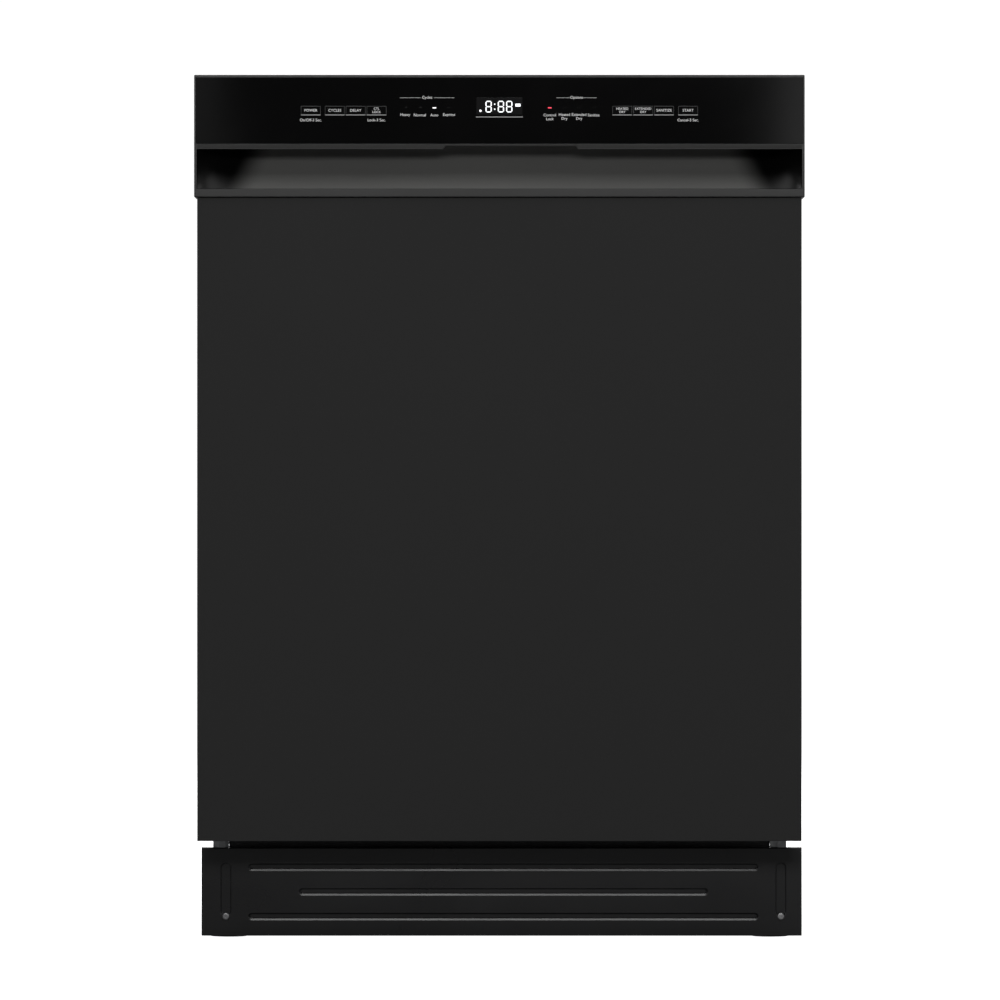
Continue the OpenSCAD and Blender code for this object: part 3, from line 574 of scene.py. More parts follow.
class Texture:
    """The shader groups that the finishes share, each built once."""

    def __init__(self) -> None:
        """Build the groups."""
        self.grain = self._grain()
        self.brushing = self._brushing()
        self.spangle = self._spangle()
        self.marks = self._marks()

    def _grain(self) -> bpy.types.NodeTree:
        """Build moulded or painted grain: rounded bumps with fine noise over them."""
        group = new_group("moulded_grain", {"Size": 400.0, "Fineness": 3.0}, ("Mask", "Height"))
        w = Wiring(group)
        start = w.add("NodeGroupInput")
        coarse = w.add("TexNoise", None, Vector=start.outputs["Vector"], Scale=start.outputs["Size"],
                       Detail=2.0)
        fine_size = w.add("Math", {"operation": "MULTIPLY"}, _0=start.outputs["Size"],
                          _1=start.outputs["Fineness"])
        fine = w.add("TexNoise", None, Vector=start.outputs["Vector"], Scale=fine_size.outputs[0],
                     Detail=4.0)
        height = w.add("Math", {"operation": "MULTIPLY_ADD"}, _0=fine.outputs["Fac"], _1=0.35,
                       _2=coarse.outputs["Fac"])
        end = w.add("NodeGroupOutput")
        group.links.new(coarse.outputs["Fac"], end.inputs["Mask"])
        group.links.new(height.outputs[0], end.inputs["Height"])
        return group

    def _brushing(self) -> bpy.types.NodeTree:
        """Build the long fine scratches of brushed or rolled steel."""
        group = new_group("brushed_lines", {"Size": 90.0, "Fineness": 60.0}, ("Mask", "Height"))
        w = Wiring(group)
        start = w.add("NodeGroupInput")
        across = w.add("CombineXYZ", None, X=1.0, Y=start.outputs["Fineness"], Z=start.outputs["Fineness"])
        stretched = w.add("VectorMath", {"operation": "MULTIPLY"}, _0=start.outputs["Vector"],
                          _1=across.outputs[0])
        lines = w.add("TexNoise", None, Vector=stretched.outputs[0], Scale=start.outputs["Size"], Detail=6.0)
        broad = w.add("TexNoise", None, Vector=start.outputs["Vector"], Scale=9.0, Detail=3.0)
        mix = w.add("Math", {"operation": "MULTIPLY_ADD"}, _0=broad.outputs["Fac"], _1=0.4,
                    _2=lines.outputs["Fac"])
        end = w.add("NodeGroupOutput")
        group.links.new(mix.outputs[0], end.inputs["Mask"])
        group.links.new(lines.outputs["Fac"], end.inputs["Height"])
        return group

    def _spangle(self) -> bpy.types.NodeTree:
        """Build the crystal patches of zinc coating."""
        group = new_group("zinc_spangle", {"Size": 120.0, "Fineness": 6.0}, ("Mask", "Height"))
        w = Wiring(group)
        start = w.add("NodeGroupInput")
        cells = w.add("TexVoronoi", None, Vector=start.outputs["Vector"], Scale=start.outputs["Size"])
        grey = w.add("RGBToBW", None, Color=cells.outputs["Color"])
        fine_size = w.add("Math", {"operation": "MULTIPLY"}, _0=start.outputs["Size"],
                          _1=start.outputs["Fineness"])
        fine = w.add("TexNoise", None, Vector=start.outputs["Vector"], Scale=fine_size.outputs[0],
                     Detail=3.0)
        end = w.add("NodeGroupOutput")
        group.links.new(grey.outputs[0], end.inputs["Mask"])
        group.links.new(fine.outputs["Fac"], end.inputs["Height"])
        return group

    def _marks(self) -> bpy.types.NodeTree:
        """Build the soft uneven patches that handling and wiping leave."""
        group = new_group("handling_marks", {"Size": 5.0, "Fineness": 1.0}, ("Mask", "Height"))
        w = Wiring(group)
        start = w.add("NodeGroupInput")
        patch = w.add("TexNoise", None, Vector=start.outputs["Vector"], Scale=start.outputs["Size"],
                      Detail=5.0,
                      Distortion=0.6)
        curve = w.add("MapRange", None, Value=patch.outputs["Fac"], From_Min=0.35, From_Max=0.7)
        end = w.add("NodeGroupOutput")
        group.links.new(curve.outputs[0], end.inputs["Mask"])
        group.links.new(patch.outputs["Fac"], end.inputs["Height"])
        return group


class Pattern(Enum):
    """The shader group that gives a finish its detail."""

    GRAIN = "grain"
    BRUSHING = "brushing"
    SPANGLE = "spangle"


@dataclass(frozen=True)
class Finish:
    """One surface finish, with the record's slot that it belongs to."""

    name: str
    slot: str
    dark: Corner
    light: Corner
    rough: Flat
    pattern: Pattern = Pattern.GRAIN
    size: float = 900.0
    fineness: float = 3.0
    relief: float = 0.02
    metallic: float = 0.0
    coat: float = 0.0
    coat_rough: float = 0.1
    specular: float = 0.5
    # Emission strength: real lamp light on the lights and figures, but painted glow on the print.
    glow: float = 0.0
    marks: float = 5.0
    # Painted shade: darkens the colour to near black towards both ends of the machine, between these two
    # reaches in mm.
    painted_end_shade: Flat | None = None

    def build(self, textures: Texture) -> bpy.types.Material:
        """Make the material.

        Args:
            textures: The shared shader groups.

        Returns:
            The material.
        """
        material = bpy.data.materials.new(self.name)
        material.use_nodes = True
        tree = material.node_tree
        tree.nodes.clear()
        w = Wiring(tree)
        place = w.add("TexCoord").outputs["Object"]
        detail = w.add("Group", {"node_tree": getattr(textures, self.pattern.value)}, Vector=place,
                       Size=self.size,
                       Fineness=self.fineness)
        marks = w.add("Group", {"node_tree": textures.marks}, Vector=place, Size=self.marks)
        blend = w.add("Math", {"operation": "MULTIPLY_ADD"}, _0=marks.outputs["Mask"], _1=0.35,
                      _2=detail.outputs["Mask"])
        spread = w.add("MapRange", None, Value=blend.outputs[0], From_Min=0.3, From_Max=1.0)
        colour = w.add("Mix", {"data_type": "RGBA"}, _0=spread.outputs[0], _6=(*self.dark, 1),
                       _7=(*self.light, 1))
        tint = colour.outputs[2]
        # Paint shade into the colour towards the ends, where a finish asks for it.
        if self.painted_end_shade:
            tint = self._paint_end_shade(w, place, tint)
        rough = w.add("MapRange", None, Value=marks.outputs["Mask"], To_Min=self.rough[0],
                      To_Max=self.rough[1])
        bump = w.add("Bump", None, Height=detail.outputs["Height"], Strength=1.0, Distance=self.relief * MM)
        shader = w.add("BsdfPrincipled", None, Base_Color=tint, Roughness=rough.outputs[0],
                       Metallic=self.metallic, Coat_Weight=self.coat, Coat_Roughness=self.coat_rough,
                       Specular_IOR_Level=self.specular, Normal=bump.outputs[0])
        if self.glow:
            tree.links.new(colour.outputs[2], shader.inputs["Emission Color"])
            shader.inputs["Emission Strength"].default_value = self.glow
        w.add("OutputMaterial", None, Surface=shader.outputs[0])
        return material

    def _paint_end_shade(self, w: Wiring, place: bpy.types.NodeSocket,
                  colour: bpy.types.NodeSocket) -> bpy.types.NodeSocket:
        """Paint shade into a colour towards both ends of the machine, reaching further in higher up: the
        painted shade at the ends of the handle pocket.

        Args:
            w: The material's wiring.
            place: The place on the surface.
            colour: The colour to paint the shade into.

        Returns:
            The colour with the painted shade.
        """
        axes = w.add("SeparateXYZ", None, Vector=place)
        side = w.add("Math", {"operation": "ABSOLUTE"}, _0=axes.outputs["X"])
        lean = w.add("Math", {"operation": "MULTIPLY_ADD"}, _0=axes.outputs["Z"], _1=0.5, _2=side.outputs[0])
        share = w.add("MapRange", {"interpolation_type": "SMOOTHSTEP"}, Value=lean.outputs[0],
                      From_Min=self.painted_end_shade[0] * MM, From_Max=self.painted_end_shade[1] * MM)
        return w.add("Mix", {"data_type": "RGBA"}, _0=share.outputs[0], _6=colour,
                     _7=(0.0008, 0.0008, 0.0008, 1)).outputs[2]


# The scoop's colour has painted shade at both ends of the handle pocket.
SCOOP_BLACK = Finish("scoop_moulded_black", "black_plastic", (0.118, 0.118, 0.114), (0.136, 0.136, 0.131),
                     (0.36, 0.44), size=2600, relief=0.006, specular=0.3, painted_end_shade=(615.0, 648.0))
DOOR_PAINT = Finish("door_black_enamel", "panel_black", (0.0262, 0.0262, 0.0261), (0.0305, 0.0305, 0.0303),
                    (0.62, 0.7), size=1400, relief=0.006, specular=0.2)
PANEL_GLOSS = Finish("panel_black_gloss", "gloss_black", (0.0008, 0.0008, 0.0009), (0.0014, 0.0014, 0.0015),
                     (0.05, 0.085), size=2500, relief=0.0006, specular=0.5)
KEY_GLOSS = Finish("key_black_gloss", "gloss_black", (0.0012, 0.0012, 0.0013), (0.0024, 0.0024, 0.0025),
                   (0.06, 0.1), size=2500, relief=0.0008)
MOULDED_BLACK = Finish("moulded_black", "black_plastic", (0.0155, 0.0155, 0.0152), (0.0205, 0.0205, 0.02),
                       (0.38, 0.46), size=2600, relief=0.008)
GRIP_BLACK = Finish("grip_moulded_black", "black_plastic", (0.036, 0.036, 0.0352), (0.042, 0.042, 0.041),
                    (0.38, 0.46), size=2600, relief=0.006)
KICK_PAINT = Finish("kick_black_paint", "kick_black", (0.0035, 0.0035, 0.0042), (0.0052, 0.0052, 0.006),
                    (0.26, 0.33), size=1500, relief=0.004)
STAINLESS = Finish("brushed_stainless", "stainless", (0.58, 0.59, 0.60), (0.64, 0.65, 0.66), (0.29, 0.33),
                   pattern=Pattern.BRUSHING, size=70, fineness=40, relief=0.004, metallic=1.0)
GALVANISED = Finish("zinc_coated_steel", "galvanised", (0.20, 0.205, 0.21), (0.34, 0.345, 0.35), (0.34, 0.5),
                    pattern=Pattern.SPANGLE, size=110, fineness=8, relief=0.01, metallic=1.0)
DARK_STEEL = Finish("oiled_dark_steel", "dark_steel", (0.13, 0.13, 0.135), (0.22, 0.22, 0.225), (0.28, 0.42),
                    pattern=Pattern.BRUSHING, size=120, fineness=20, relief=0.006, metallic=1.0)
GREY_PLASTIC = Finish("moulded_grey", "grey_plastic", (0.10, 0.11, 0.125), (0.13, 0.14, 0.155), (0.36, 0.48),
                      size=1800, relief=0.01)
DARK_PLASTIC = Finish("moulded_charcoal", "dark_plastic", (0.024, 0.024, 0.026), (0.038, 0.038, 0.041),
                      (0.42, 0.55),
                      size=1500, relief=0.02)
LIGHT_PLASTIC = Finish("moulded_ivory", "light_plastic", (0.55, 0.55, 0.51), (0.66, 0.66, 0.62),
                       (0.34, 0.46),
                       size=1500, relief=0.01)
BLUE_PLASTIC = Finish("moulded_blue", "blue_plastic", (0.014, 0.04, 0.14), (0.02, 0.06, 0.19), (0.28, 0.38),
                      size=1800, relief=0.01)
BOARD_GREEN = Finish("circuit_board_green", "board_green", (0.01, 0.09, 0.035), (0.018, 0.14, 0.06),
                     (0.3, 0.42),
                     size=700, relief=0.01)
RACK_COAT = Finish("nylon_coated_wire", "rack_coat", (0.30, 0.31, 0.34), (0.38, 0.39, 0.42), (0.38, 0.5),
                   size=1200, relief=0.02)
RUBBER = Finish("black_rubber", "rubber", (0.012, 0.012, 0.012), (0.022, 0.022, 0.022), (0.6, 0.78),
                size=1300, relief=0.02)
# This finish also dresses the dark sheet behind the toe kick, which is painted shade.
BITUMEN_AND_SHADE_SHEET = Finish("bitumen_mat_and_shade_sheet", "bitumen", (0.010, 0.010, 0.011), (0.024, 0.024, 0.025), (0.72, 0.9),
                 size=260, fineness=5, relief=0.25)
# The pale and mid print glow though they are only ink: painted light that brightens them.
PRINT_PALE_PAINTED_GLOW = Finish("panel_print_pale_painted_glow", "gloss_black", (0.66, 0.66, 0.66), (0.76, 0.76, 0.76), (0.4, 0.5),
                    size=3000, relief=0.001, glow=0.4)
PRINT_DIM = Finish("panel_print_dim", "gloss_black", (0.10, 0.10, 0.10), (0.14, 0.14, 0.14), (0.4, 0.5),
                   size=3000, relief=0.001)
PRINT_MID_PAINTED_GLOW = Finish("panel_print_mid_painted_glow", "gloss_black", (0.34, 0.34, 0.34), (0.42, 0.42, 0.42), (0.4, 0.5),
                   size=3000, relief=0.001, glow=0.1)
DISPLAY_SMOKE = Finish("display_smoked_glass", "gloss_black", (0.0105, 0.0105, 0.011),
                       (0.0145, 0.0145, 0.015),
                       (0.06, 0.1), size=2600, relief=0.0006)
SPRAY_GREY = Finish("spray_arm_grey", "grey_plastic", (0.075, 0.082, 0.095), (0.1, 0.108, 0.122),
                    (0.3, 0.42),
                    size=1600, relief=0.008)
SCREW_STEEL = Finish("plain_steel_screw", "dark_steel", (0.22, 0.22, 0.225), (0.34, 0.34, 0.345), (0.3, 0.4),
                     pattern=Pattern.BRUSHING, size=200, fineness=10, relief=0.003, metallic=1.0)
GLOW_WHITE = Finish("light_white", "gloss_black", (0.85, 0.87, 0.90), (1.0, 1.0, 1.0), (0.3, 0.4), glow=1.0)
GLOW_RED = Finish("light_red", "gloss_black", (0.80, 0.035, 0.075), (0.95, 0.07, 0.12), (0.3, 0.4),
                  glow=0.95)
LIGHT_OFF = Finish("light_unlit", "gloss_black", (0.0012, 0.0012, 0.0012), (0.002, 0.002, 0.002),
                   (0.06, 0.1), relief=0.001)


class Paintshop:
    """Makes each finish's material once, and dresses pieces in it."""

    def __init__(self) -> None:
        """Start with the shared groups and no materials."""
        self.textures = Texture()
        self.made: dict[str, bpy.types.Material] = {}

    def material(self, finish: Finish) -> bpy.types.Material:
        """Give a finish's material, making it the first time."""
        if finish.name not in self.made:
            self.made[finish.name] = finish.build(self.textures)
        return self.made[finish.name]

    def dress(self, piece: Piece, finish: Finish) -> None:
        """Put a finish on the whole of a piece.

        Args:
            piece: The piece.
            finish: The finish.
        """
        piece.data.materials.clear()
        piece.data.materials.append(self.material(finish))
        piece.data.polygons.foreach_set("material_index", [0] * len(piece.data.polygons))

    def fit(self, piece: Piece, body: str, finish: Finish, *stands_for: str) -> Piece:
        """Finish a piece and hang it on its body.

        Args:
            piece: The piece.
            body: The moving body that it rides on.
            finish: Its finish.
            stands_for: The frame's nodes that it takes the place of.

        Returns:
            The piece.
        """
        self.dress(piece, finish)
        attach(piece, body)
        if stands_for:
            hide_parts(*stands_for)
        LOG.info("%s on %s, %d faces, %s", piece.name, body, len(piece.data.polygons), finish.name)
        return piece


SLOT_FINISHES = {
    finish.slot: finish
    for finish in (DOOR_PAINT, PANEL_GLOSS, MOULDED_BLACK, KICK_PAINT, STAINLESS, GALVANISED, DARK_STEEL,
                   GREY_PLASTIC, DARK_PLASTIC, LIGHT_PLASTIC, BLUE_PLASTIC, BOARD_GREEN, RACK_COAT, RUBBER,
                   BITUMEN_AND_SHADE_SHEET)
}


def dress_frame(shop: Paintshop) -> None:
    """Put the right finish on every node of the frame, from its slot in the record."""
    for part in frame["record"]["subparts"]:
        shop.dress(frame["nodes"][part["node"]], SLOT_FINISHES[part["material_slot"]])


def span(node: str) -> tuple[Vector, Vector]:
    """Give the lowest and highest corners of a frame node, in millimetres."""
    low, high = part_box(node)
    return low / MM, high / MM


# ---------------------------------------------------------------------------------------------
# Studio
# ---------------------------------------------------------------------------------------------


@dataclass
class Studio:
    """The pale floor, the soft lights and the camera."""

    view_width: float = 0.9922
    camera_back: float = 8.311
    camera_side: float = 0.0006
    camera_height: float = 0.4381
    sensor: float = 36.0

    def build(self) -> None:
        """Set up the whole studio."""
        self._camera()
        self._floor()
        self._world()
        self._softbox("softbox_key", (0.0, -5.2, 2.05), (0.0, -0.3, 0.5), (2.6, 0.9), 62)
        self._softbox("softbox_top", (0.0, -0.9, 3.4), (0.0, 0.0, 0.4), (3.2, 2.4), 40)
        self._softbox("softbox_left", (-3.4, -3.6, 1.5), (0.0, -0.3, 0.5), (1.4, 2.2), 8)
        self._softbox("softbox_right", (3.4, -3.6, 1.5), (0.0, -0.3, 0.5), (1.4, 2.2), 12)
        self._softbox("softbox_rear", (0.0, 4.5, 2.6), (0.0, 0.0, 0.5), (3.0, 1.6), 90)
        self._softbox("softbox_rear_left", (-3.6, 2.4, 1.7), (0.0, 0.0, 0.4), (1.8, 2.2), 70)
        self._softbox("softbox_rear_right", (3.6, 2.4, 1.7), (0.0, 0.0, 0.4), (1.8, 2.2), 70)
        self._softbox("card_right", (1.15, -9.6, 0.84), (0.0, -0.3, 0.8), (1.1, 1.2), 2.4)
        self._softbox("card_left", (-1.15, -9.6, 0.84), (0.0, -0.3, 0.8), (1.1, 1.2), 0.8)

    def _camera(self) -> None:
        """Add the camera, square to the door and level."""
        select_only()
        bpy.ops.object.camera_add(location=(self.camera_side, -self.camera_back, self.camera_height),
                                  rotation=(math.pi / 2, 0, 0))
        camera = bpy.context.view_layer.objects.active
        front = -span("fascia")[0].y * MM
        camera.data.sensor_width = self.sensor
        camera.data.lens = self.sensor * (self.camera_back - front) / self.view_width
        camera.data.clip_end = 100
        bpy.context.scene.camera = camera

    def _floor(self) -> None:
        """Add the pale floor."""
        select_only()
        bpy.ops.mesh.primitive_plane_add(size=60, location=(0, 0, 0))
        floor = settle("studio_floor")
        material = bpy.data.materials.new("studio_floor_white")
        material.use_nodes = True
        tree = material.node_tree
        tree.nodes.clear()
        w = Wiring(tree)
        place = w.add("TexCoord").outputs["Object"]
        cloud = w.add("TexNoise", None, Vector=place, Scale=0.8, Detail=2.0)
        tone = w.add("MapRange", None, Value=cloud.outputs["Fac"], To_Min=0.86, To_Max=0.92)
        seen = w.add("LightPath").outputs["Is Camera Ray"]
        paler = w.add("MapRange", None, Value=seen, To_Min=0.35, To_Max=1.0)
        shade = w.add("Math", {"operation": "MULTIPLY"}, _0=tone.outputs[0], _1=paler.outputs[0])
        colour = w.add("CombineColor", None, Red=shade.outputs[0], Green=shade.outputs[0],
                       Blue=shade.outputs[0])
        glow = w.add("MapRange", None, Value=seen, To_Min=0.02, To_Max=1.02)
        shader = w.add("BsdfPrincipled", None, Base_Color=colour.outputs[0], Roughness=0.9,
                       Specular_IOR_Level=0.0,
                       Emission_Strength=glow.outputs[0])
        shader.inputs["Emission Color"].default_value = (1, 1, 1, 1)
        w.add("OutputMaterial", None, Surface=shader.outputs[0])
        floor.data.materials.append(material)

    def _world(self) -> None:
        """Make the surroundings white to the eye and dim to the surfaces."""
        world = bpy.data.worlds.new("studio_surround")
        bpy.context.scene.world = world
        world.use_nodes = True
        tree = world.node_tree
        tree.nodes.clear()
        w = Wiring(tree)
        seen = w.add("LightPath").outputs["Is Camera Ray"]
        strength = w.add("MapRange", None, Value=seen, To_Min=0.045, To_Max=1.05)
        light = w.add("Background", None, Color=(1, 1, 1, 1), Strength=strength.outputs[0])
        w.add("OutputWorld", None, Surface=light.outputs[0])
        bpy.context.scene.view_settings.view_transform = "Standard"

    def _softbox(self, name: str, at: Corner, toward: Corner, size: Flat, power: float) -> None:
        """Add a soft light.

        Args:
            name: Its name.
            at: Where it stands, in metres.
            toward: What it points at, in metres.
            size: Its width and height in metres.
            power: Its power in watts.
        """
        select_only()
        turn = (Vector(toward) - Vector(at)).to_track_quat("-Z", "Y").to_euler()
        bpy.ops.object.light_add(type="AREA", location=at, rotation=turn)
        lamp = bpy.context.view_layer.objects.active
        lamp.name = name
        lamp.data.shape = "RECTANGLE"
        lamp.data.size, lamp.data.size_y = size
        lamp.data.energy = power
        lamp.visible_camera = False


# ---------------------------------------------------------------------------------------------
# Door
# ---------------------------------------------------------------------------------------------


@dataclass
class DoorSkin:
    """The painted outer panel of the door, folded from one sheet."""

    sheet: float = 0.9
    fold: float = 1.7

    def build(self, shop: Paintshop) -> None:
        """Model the panel.

        Args:
            shop: The paintshop that finishes the pieces.
        """
        low, high = span("door_panel")
        panel = block("door_outer_panel", low, high)
        sink(panel, (0, 1, 0), self.sheet, high.y - low.y - self.sheet)
        round_edges(panel, self.fold, segments=4)
        shop.fit(panel, "door", DOOR_PAINT, "door_panel")


@dataclass
class Fascia:
    """The moulded front above the door: shell, glossy control panel and pocket handle."""

    body: str = "door"
    edge: float = 1.1
    wall: float = 2.5
    lens_side: float = 1.5
    lens_top: float = 2.0
    grip_deep: float = 12.0
    pocket_deep: float = 40.0
    notch_half: float = 67.0
    notch_high: float = 3.0
    notch_mid: float = 11.3

    low: Vector = field(default_factory=lambda: span("fascia")[0])
    high: Vector = field(default_factory=lambda: span("fascia")[1])
    lens: tuple[Vector, Vector] = field(default_factory=lambda: span("control_lens"))
    scoop: tuple[Vector, Vector] = field(default_factory=lambda: span("handle_scoop"))

    def build(self, shop: Paintshop) -> None:
        """Model the shell, the strip, the scoop and the glossy panel.

        Args:
            shop: The paintshop that finishes the pieces.
        """
        self._shell(shop)
        self._strip(shop)
        self._scoop(shop)
        self._gloss(shop)

    def _shell(self, shop: Paintshop) -> None:
        """Model the shell, with its pocket, its well for the glossy panel and its hollow.

        Args:
            shop: The paintshop that finishes the pieces.
        """
        low, high, wall = self.low, self.high, self.wall
        lens_low = self.lens[0].z
        grip = lens_low - 5
        shell = round_edges(block("fascia_shell", low, high), self.edge, segments=3)
        inner = high.x - wall
        pocket = round_edges(
            block("pocket", (-inner, low.y - 5, self.scoop[0].z - 0.3),
                  (inner, low.y + self.pocket_deep, grip)), 1.2, 3)
        hook = block("hook", (-inner, low.y + self.grip_deep, grip - 6),
                     (inner, low.y + self.pocket_deep, lens_low + 11))
        well = block("well", (-high.x + self.lens_side, low.y - 5, lens_low),
                     (high.x - self.lens_side, low.y + 2.6, high.z - self.lens_top))
        hollow = block("hollow", (-inner, low.y + 5.1, lens_low + 13.5),
                       (inner, high.y - wall, high.z - wall))
        window = block("window", (-201.2, low.y, high.z - 49.6), (201.2, low.y + 8, high.z - 15.6))
        rear = block("rear", (-inner, low.y + self.pocket_deep + wall, low.z + wall),
                     (inner, high.y + 5, lens_low + 11))
        strip_cut = block("strip_cut", (-inner, low.y - 5, grip - 1), (inner, low.y + 1.0, lens_low + 0.01))
        notch = block("notch", (self.notch_mid - self.notch_half, low.y - 5, grip - 1),
                      (self.notch_mid + self.notch_half, low.y + self.grip_deep + 1, grip + self.notch_high))
        carve(shell, pocket, hook, well, hollow, window, rear, strip_cut, notch)
        slot_high = span("door_latch")[1]
        carve(shell, block("latch_slot", (-18, high.y - wall - 1, slot_high.z - 5),
                           (18, high.y + 1, slot_high.z + 0.5)))
        shop.fit(flatten(shell), self.body, MOULDED_BLACK, "fascia")

    def _strip(self, shop: Paintshop) -> None:
        """Model the grip strip that shows under the glossy panel, with its shallow middle notch.

        Args:
            shop: The paintshop that finishes the pieces.
        """
        lens_low = self.lens[0].z
        front = self.low.y
        inner = self.high.x - self.wall - 0.6
        outline = [(front + 1.2, lens_low - 0.35), (front + 0.25, lens_low - 1.0),
                   (front + 0.9, lens_low - 4.4),
                   (front + 1.5, lens_low - 4.9), (front + 2.4, lens_low - 4.9),
                   (front + 2.4, lens_low - 0.35)]
        strip = prism("grip_strip", outline, Axis.X, -inner, inner)
        left, right = self.notch_mid - self.notch_half, self.notch_mid + self.notch_half
        notch = prism("notch", [(left - 2, lens_low - 9), (right + 2, lens_low - 9),
                                (right - 2, lens_low - 2.0),
                                (left + 2, lens_low - 2.0)], Axis.Y, front - 2, front + 5)
        carve(strip, notch)
        round_edges(strip, 0.25, segments=2, angle=25)
        shop.fit(strip, self.body, GRIP_BLACK)

    def _scoop(self, shop: Paintshop) -> None:
        """Model the scoop behind the grip: a curved wall whose ends come forward like a boat's.

        Args:
            shop: The paintshop that finishes the pieces.
        """
        low, high = self.scoop
        half = high.x - 0.2
        mouth = self.low.y + 3.2
        back = high.y - 2.2
        bottom, brow, top = low.z + 0.2, self.lens[0].z - 5, high.z - 0.2
        end_run = 46.0
        across = [0.0, 0.03, 0.07, 0.13, 0.2, 0.3, 0.4, 0.52, 0.65, 0.8, 1.0]
        xs = [-half + end_run * t for t in across] + [half - end_run * t for t in reversed(across)]
        levels = [bottom + (brow - bottom) * t / 12 for t in range(13)] + [brow + 4, top - 3, top]

        def shape(x: float, z: float) -> Corner:
            """Give the scoop's wall at one place.

            Args:
                x: Place across the machine.
                z: Height.

            Returns:
                The point on the sheet.
            """
            rise = min(1.0, (z - bottom) / (brow - bottom))
            inward = min(1.0, (half - abs(x)) / end_run)
            fullness = 1 - (1 - inward) ** 2.6
            depth = (back - mouth) * (1 - (1 - rise) ** 1.18) * fullness
            return x, mouth + depth, z

        scoop = formed("handle_scoop_wall", xs, levels, shape)
        select_only(scoop)
        thicken(scoop, 1.6, offset=-1.0 if scoop.data.polygons[0].normal.y < 0 else 1.0)
        smooth(scoop, 50)
        shop.fit(scoop, self.body, SCOOP_BLACK, "handle_scoop")

    def _gloss(self, shop: Paintshop) -> None:
        """Model the glossy panel with the openings for the keys.

        Args:
            shop: The paintshop that finishes the pieces.
        """
        low, high = self.lens
        panel = round_edges(block("glossy_panel", low, high), 0.5, segments=3)
        for name in KEY_NODES:
            a, b = span(name)
            middle_x, middle_z = (a.x + b.x) / 2, (a.z + b.z) / 2
            wide, tall = 10.05, 5.05
            carve(panel, block("opening", (middle_x - wide, low.y - 3, middle_z - tall),
                               (middle_x + wide, high.y + 3, middle_z + tall)))
        shop.fit(flatten(panel), self.body, PANEL_GLOSS, "control_lens")



@dataclass(frozen=True)
class KeySpec:
    """One key: the node it stands for, what is printed on it and what is printed below."""

    node: str
    words: str
    below: str = ""

    @property
    def body(self) -> str:
        """Give the moving body that the key rides on."""
        return self.node + "_body"


KEYS = (
    KeySpec("power_button", "POWER", "On/Off-3 Sec."),
    KeySpec("cycles_button", "CYCLES"),
    KeySpec("delay_button", "DELAY"),
    KeySpec("lock_button", "CTL\nLOCK", "Lock-3 Sec."),
    KeySpec("heated_dry_button", "HEATED\nDRY"),
    KeySpec("extra_dry_button", "EXTENDED\nDRY"),
    KeySpec("sanitize_button", "SANITIZE"),
    KeySpec("start_button", "START", "Cancel-3 Sec."),
)
KEY_NODES = tuple(spec.node for spec in KEYS)


@dataclass
class Keys:
    """The eight press keys, each on its own moving body."""

    edge: float = 0.3
    flange: Flat = (0.3, 1.8)
    inset: float = 0.14
    frame: float = 0.22
    bar: float = 0.85
    font: float = 3.75
    small_font: float = 3.9

    def build(self, shop: Paintshop) -> None:
        """Model every key and its print.

        Args:
            shop: The paintshop that finishes the pieces.
        """
        for spec in KEYS:
            low, high = span(spec.node)
            flange = block("flange", (low.x, low.y + 2.7, low.z), (high.x, low.y + 3.9, high.z))
            margin = Vector((self.flange[0], 0, self.flange[1]))
            low, high = low + margin, high - margin
            cap = round_edges(block("cap", low, high), self.edge, segments=3)
            sink(cap, (0, 1, 0), 1.0, 2.0)
            shop.fit(join(spec.node + "_cap", cap, round_edges(flange, 0.2)), spec.body, KEY_GLOSS,
                     spec.node)
            self._print(shop, spec, low, high)

    def _print(self, shop: Paintshop, spec: KeySpec, low: Vector, high: Vector) -> None:
        """Print a key's thin frame, its bar and its words.

        Args:
            shop: The paintshop.
            spec: The key.
            low: The key's lowest corner.
            high: The key's highest corner.
        """
        x0, x1, z0, z1 = low.x + self.inset, high.x - self.inset, low.z + self.inset, high.z - 2 * self.inset
        front, back = low.y - 0.02, low.y + 0.05
        lines = [
            block("line", (x0, front, z1 - self.frame), (x1, back, z1)),
            block("line", (x0, front, z0 + self.bar), (x0 + self.frame, back, z1)),
            block("line", (x1 - self.frame, front, z0 + self.bar), (x1, back, z1)),
        ]
        shop.fit(join(spec.node + "_frame", *lines), spec.body, PRINT_DIM)
        bar = block(spec.node + "_bar", (x0, front, z0), (x1, back, z0 + self.bar))
        shop.fit(bar, spec.body, PRINT_MID_PAINTED_GLOW)
        size = self.font if "\n" not in spec.words else self.font * 0.86
        words = lettering(spec.words, size, (x0 + x1) / 2, low.y - 0.001, (z0 + z1 + self.bar) / 2)
        words.name = spec.node + "_words"
        shop.fit(words, spec.body, PRINT_PALE_PAINTED_GLOW)
        if spec.below:
            note = lettering(spec.below, self.small_font, (x0 + x1) / 2, span("control_lens")[0].y - 0.001,
                             low.z - 4.45)
            note.name = spec.node + "_note"
            shop.fit(note, "door", PRINT_PALE_PAINTED_GLOW)


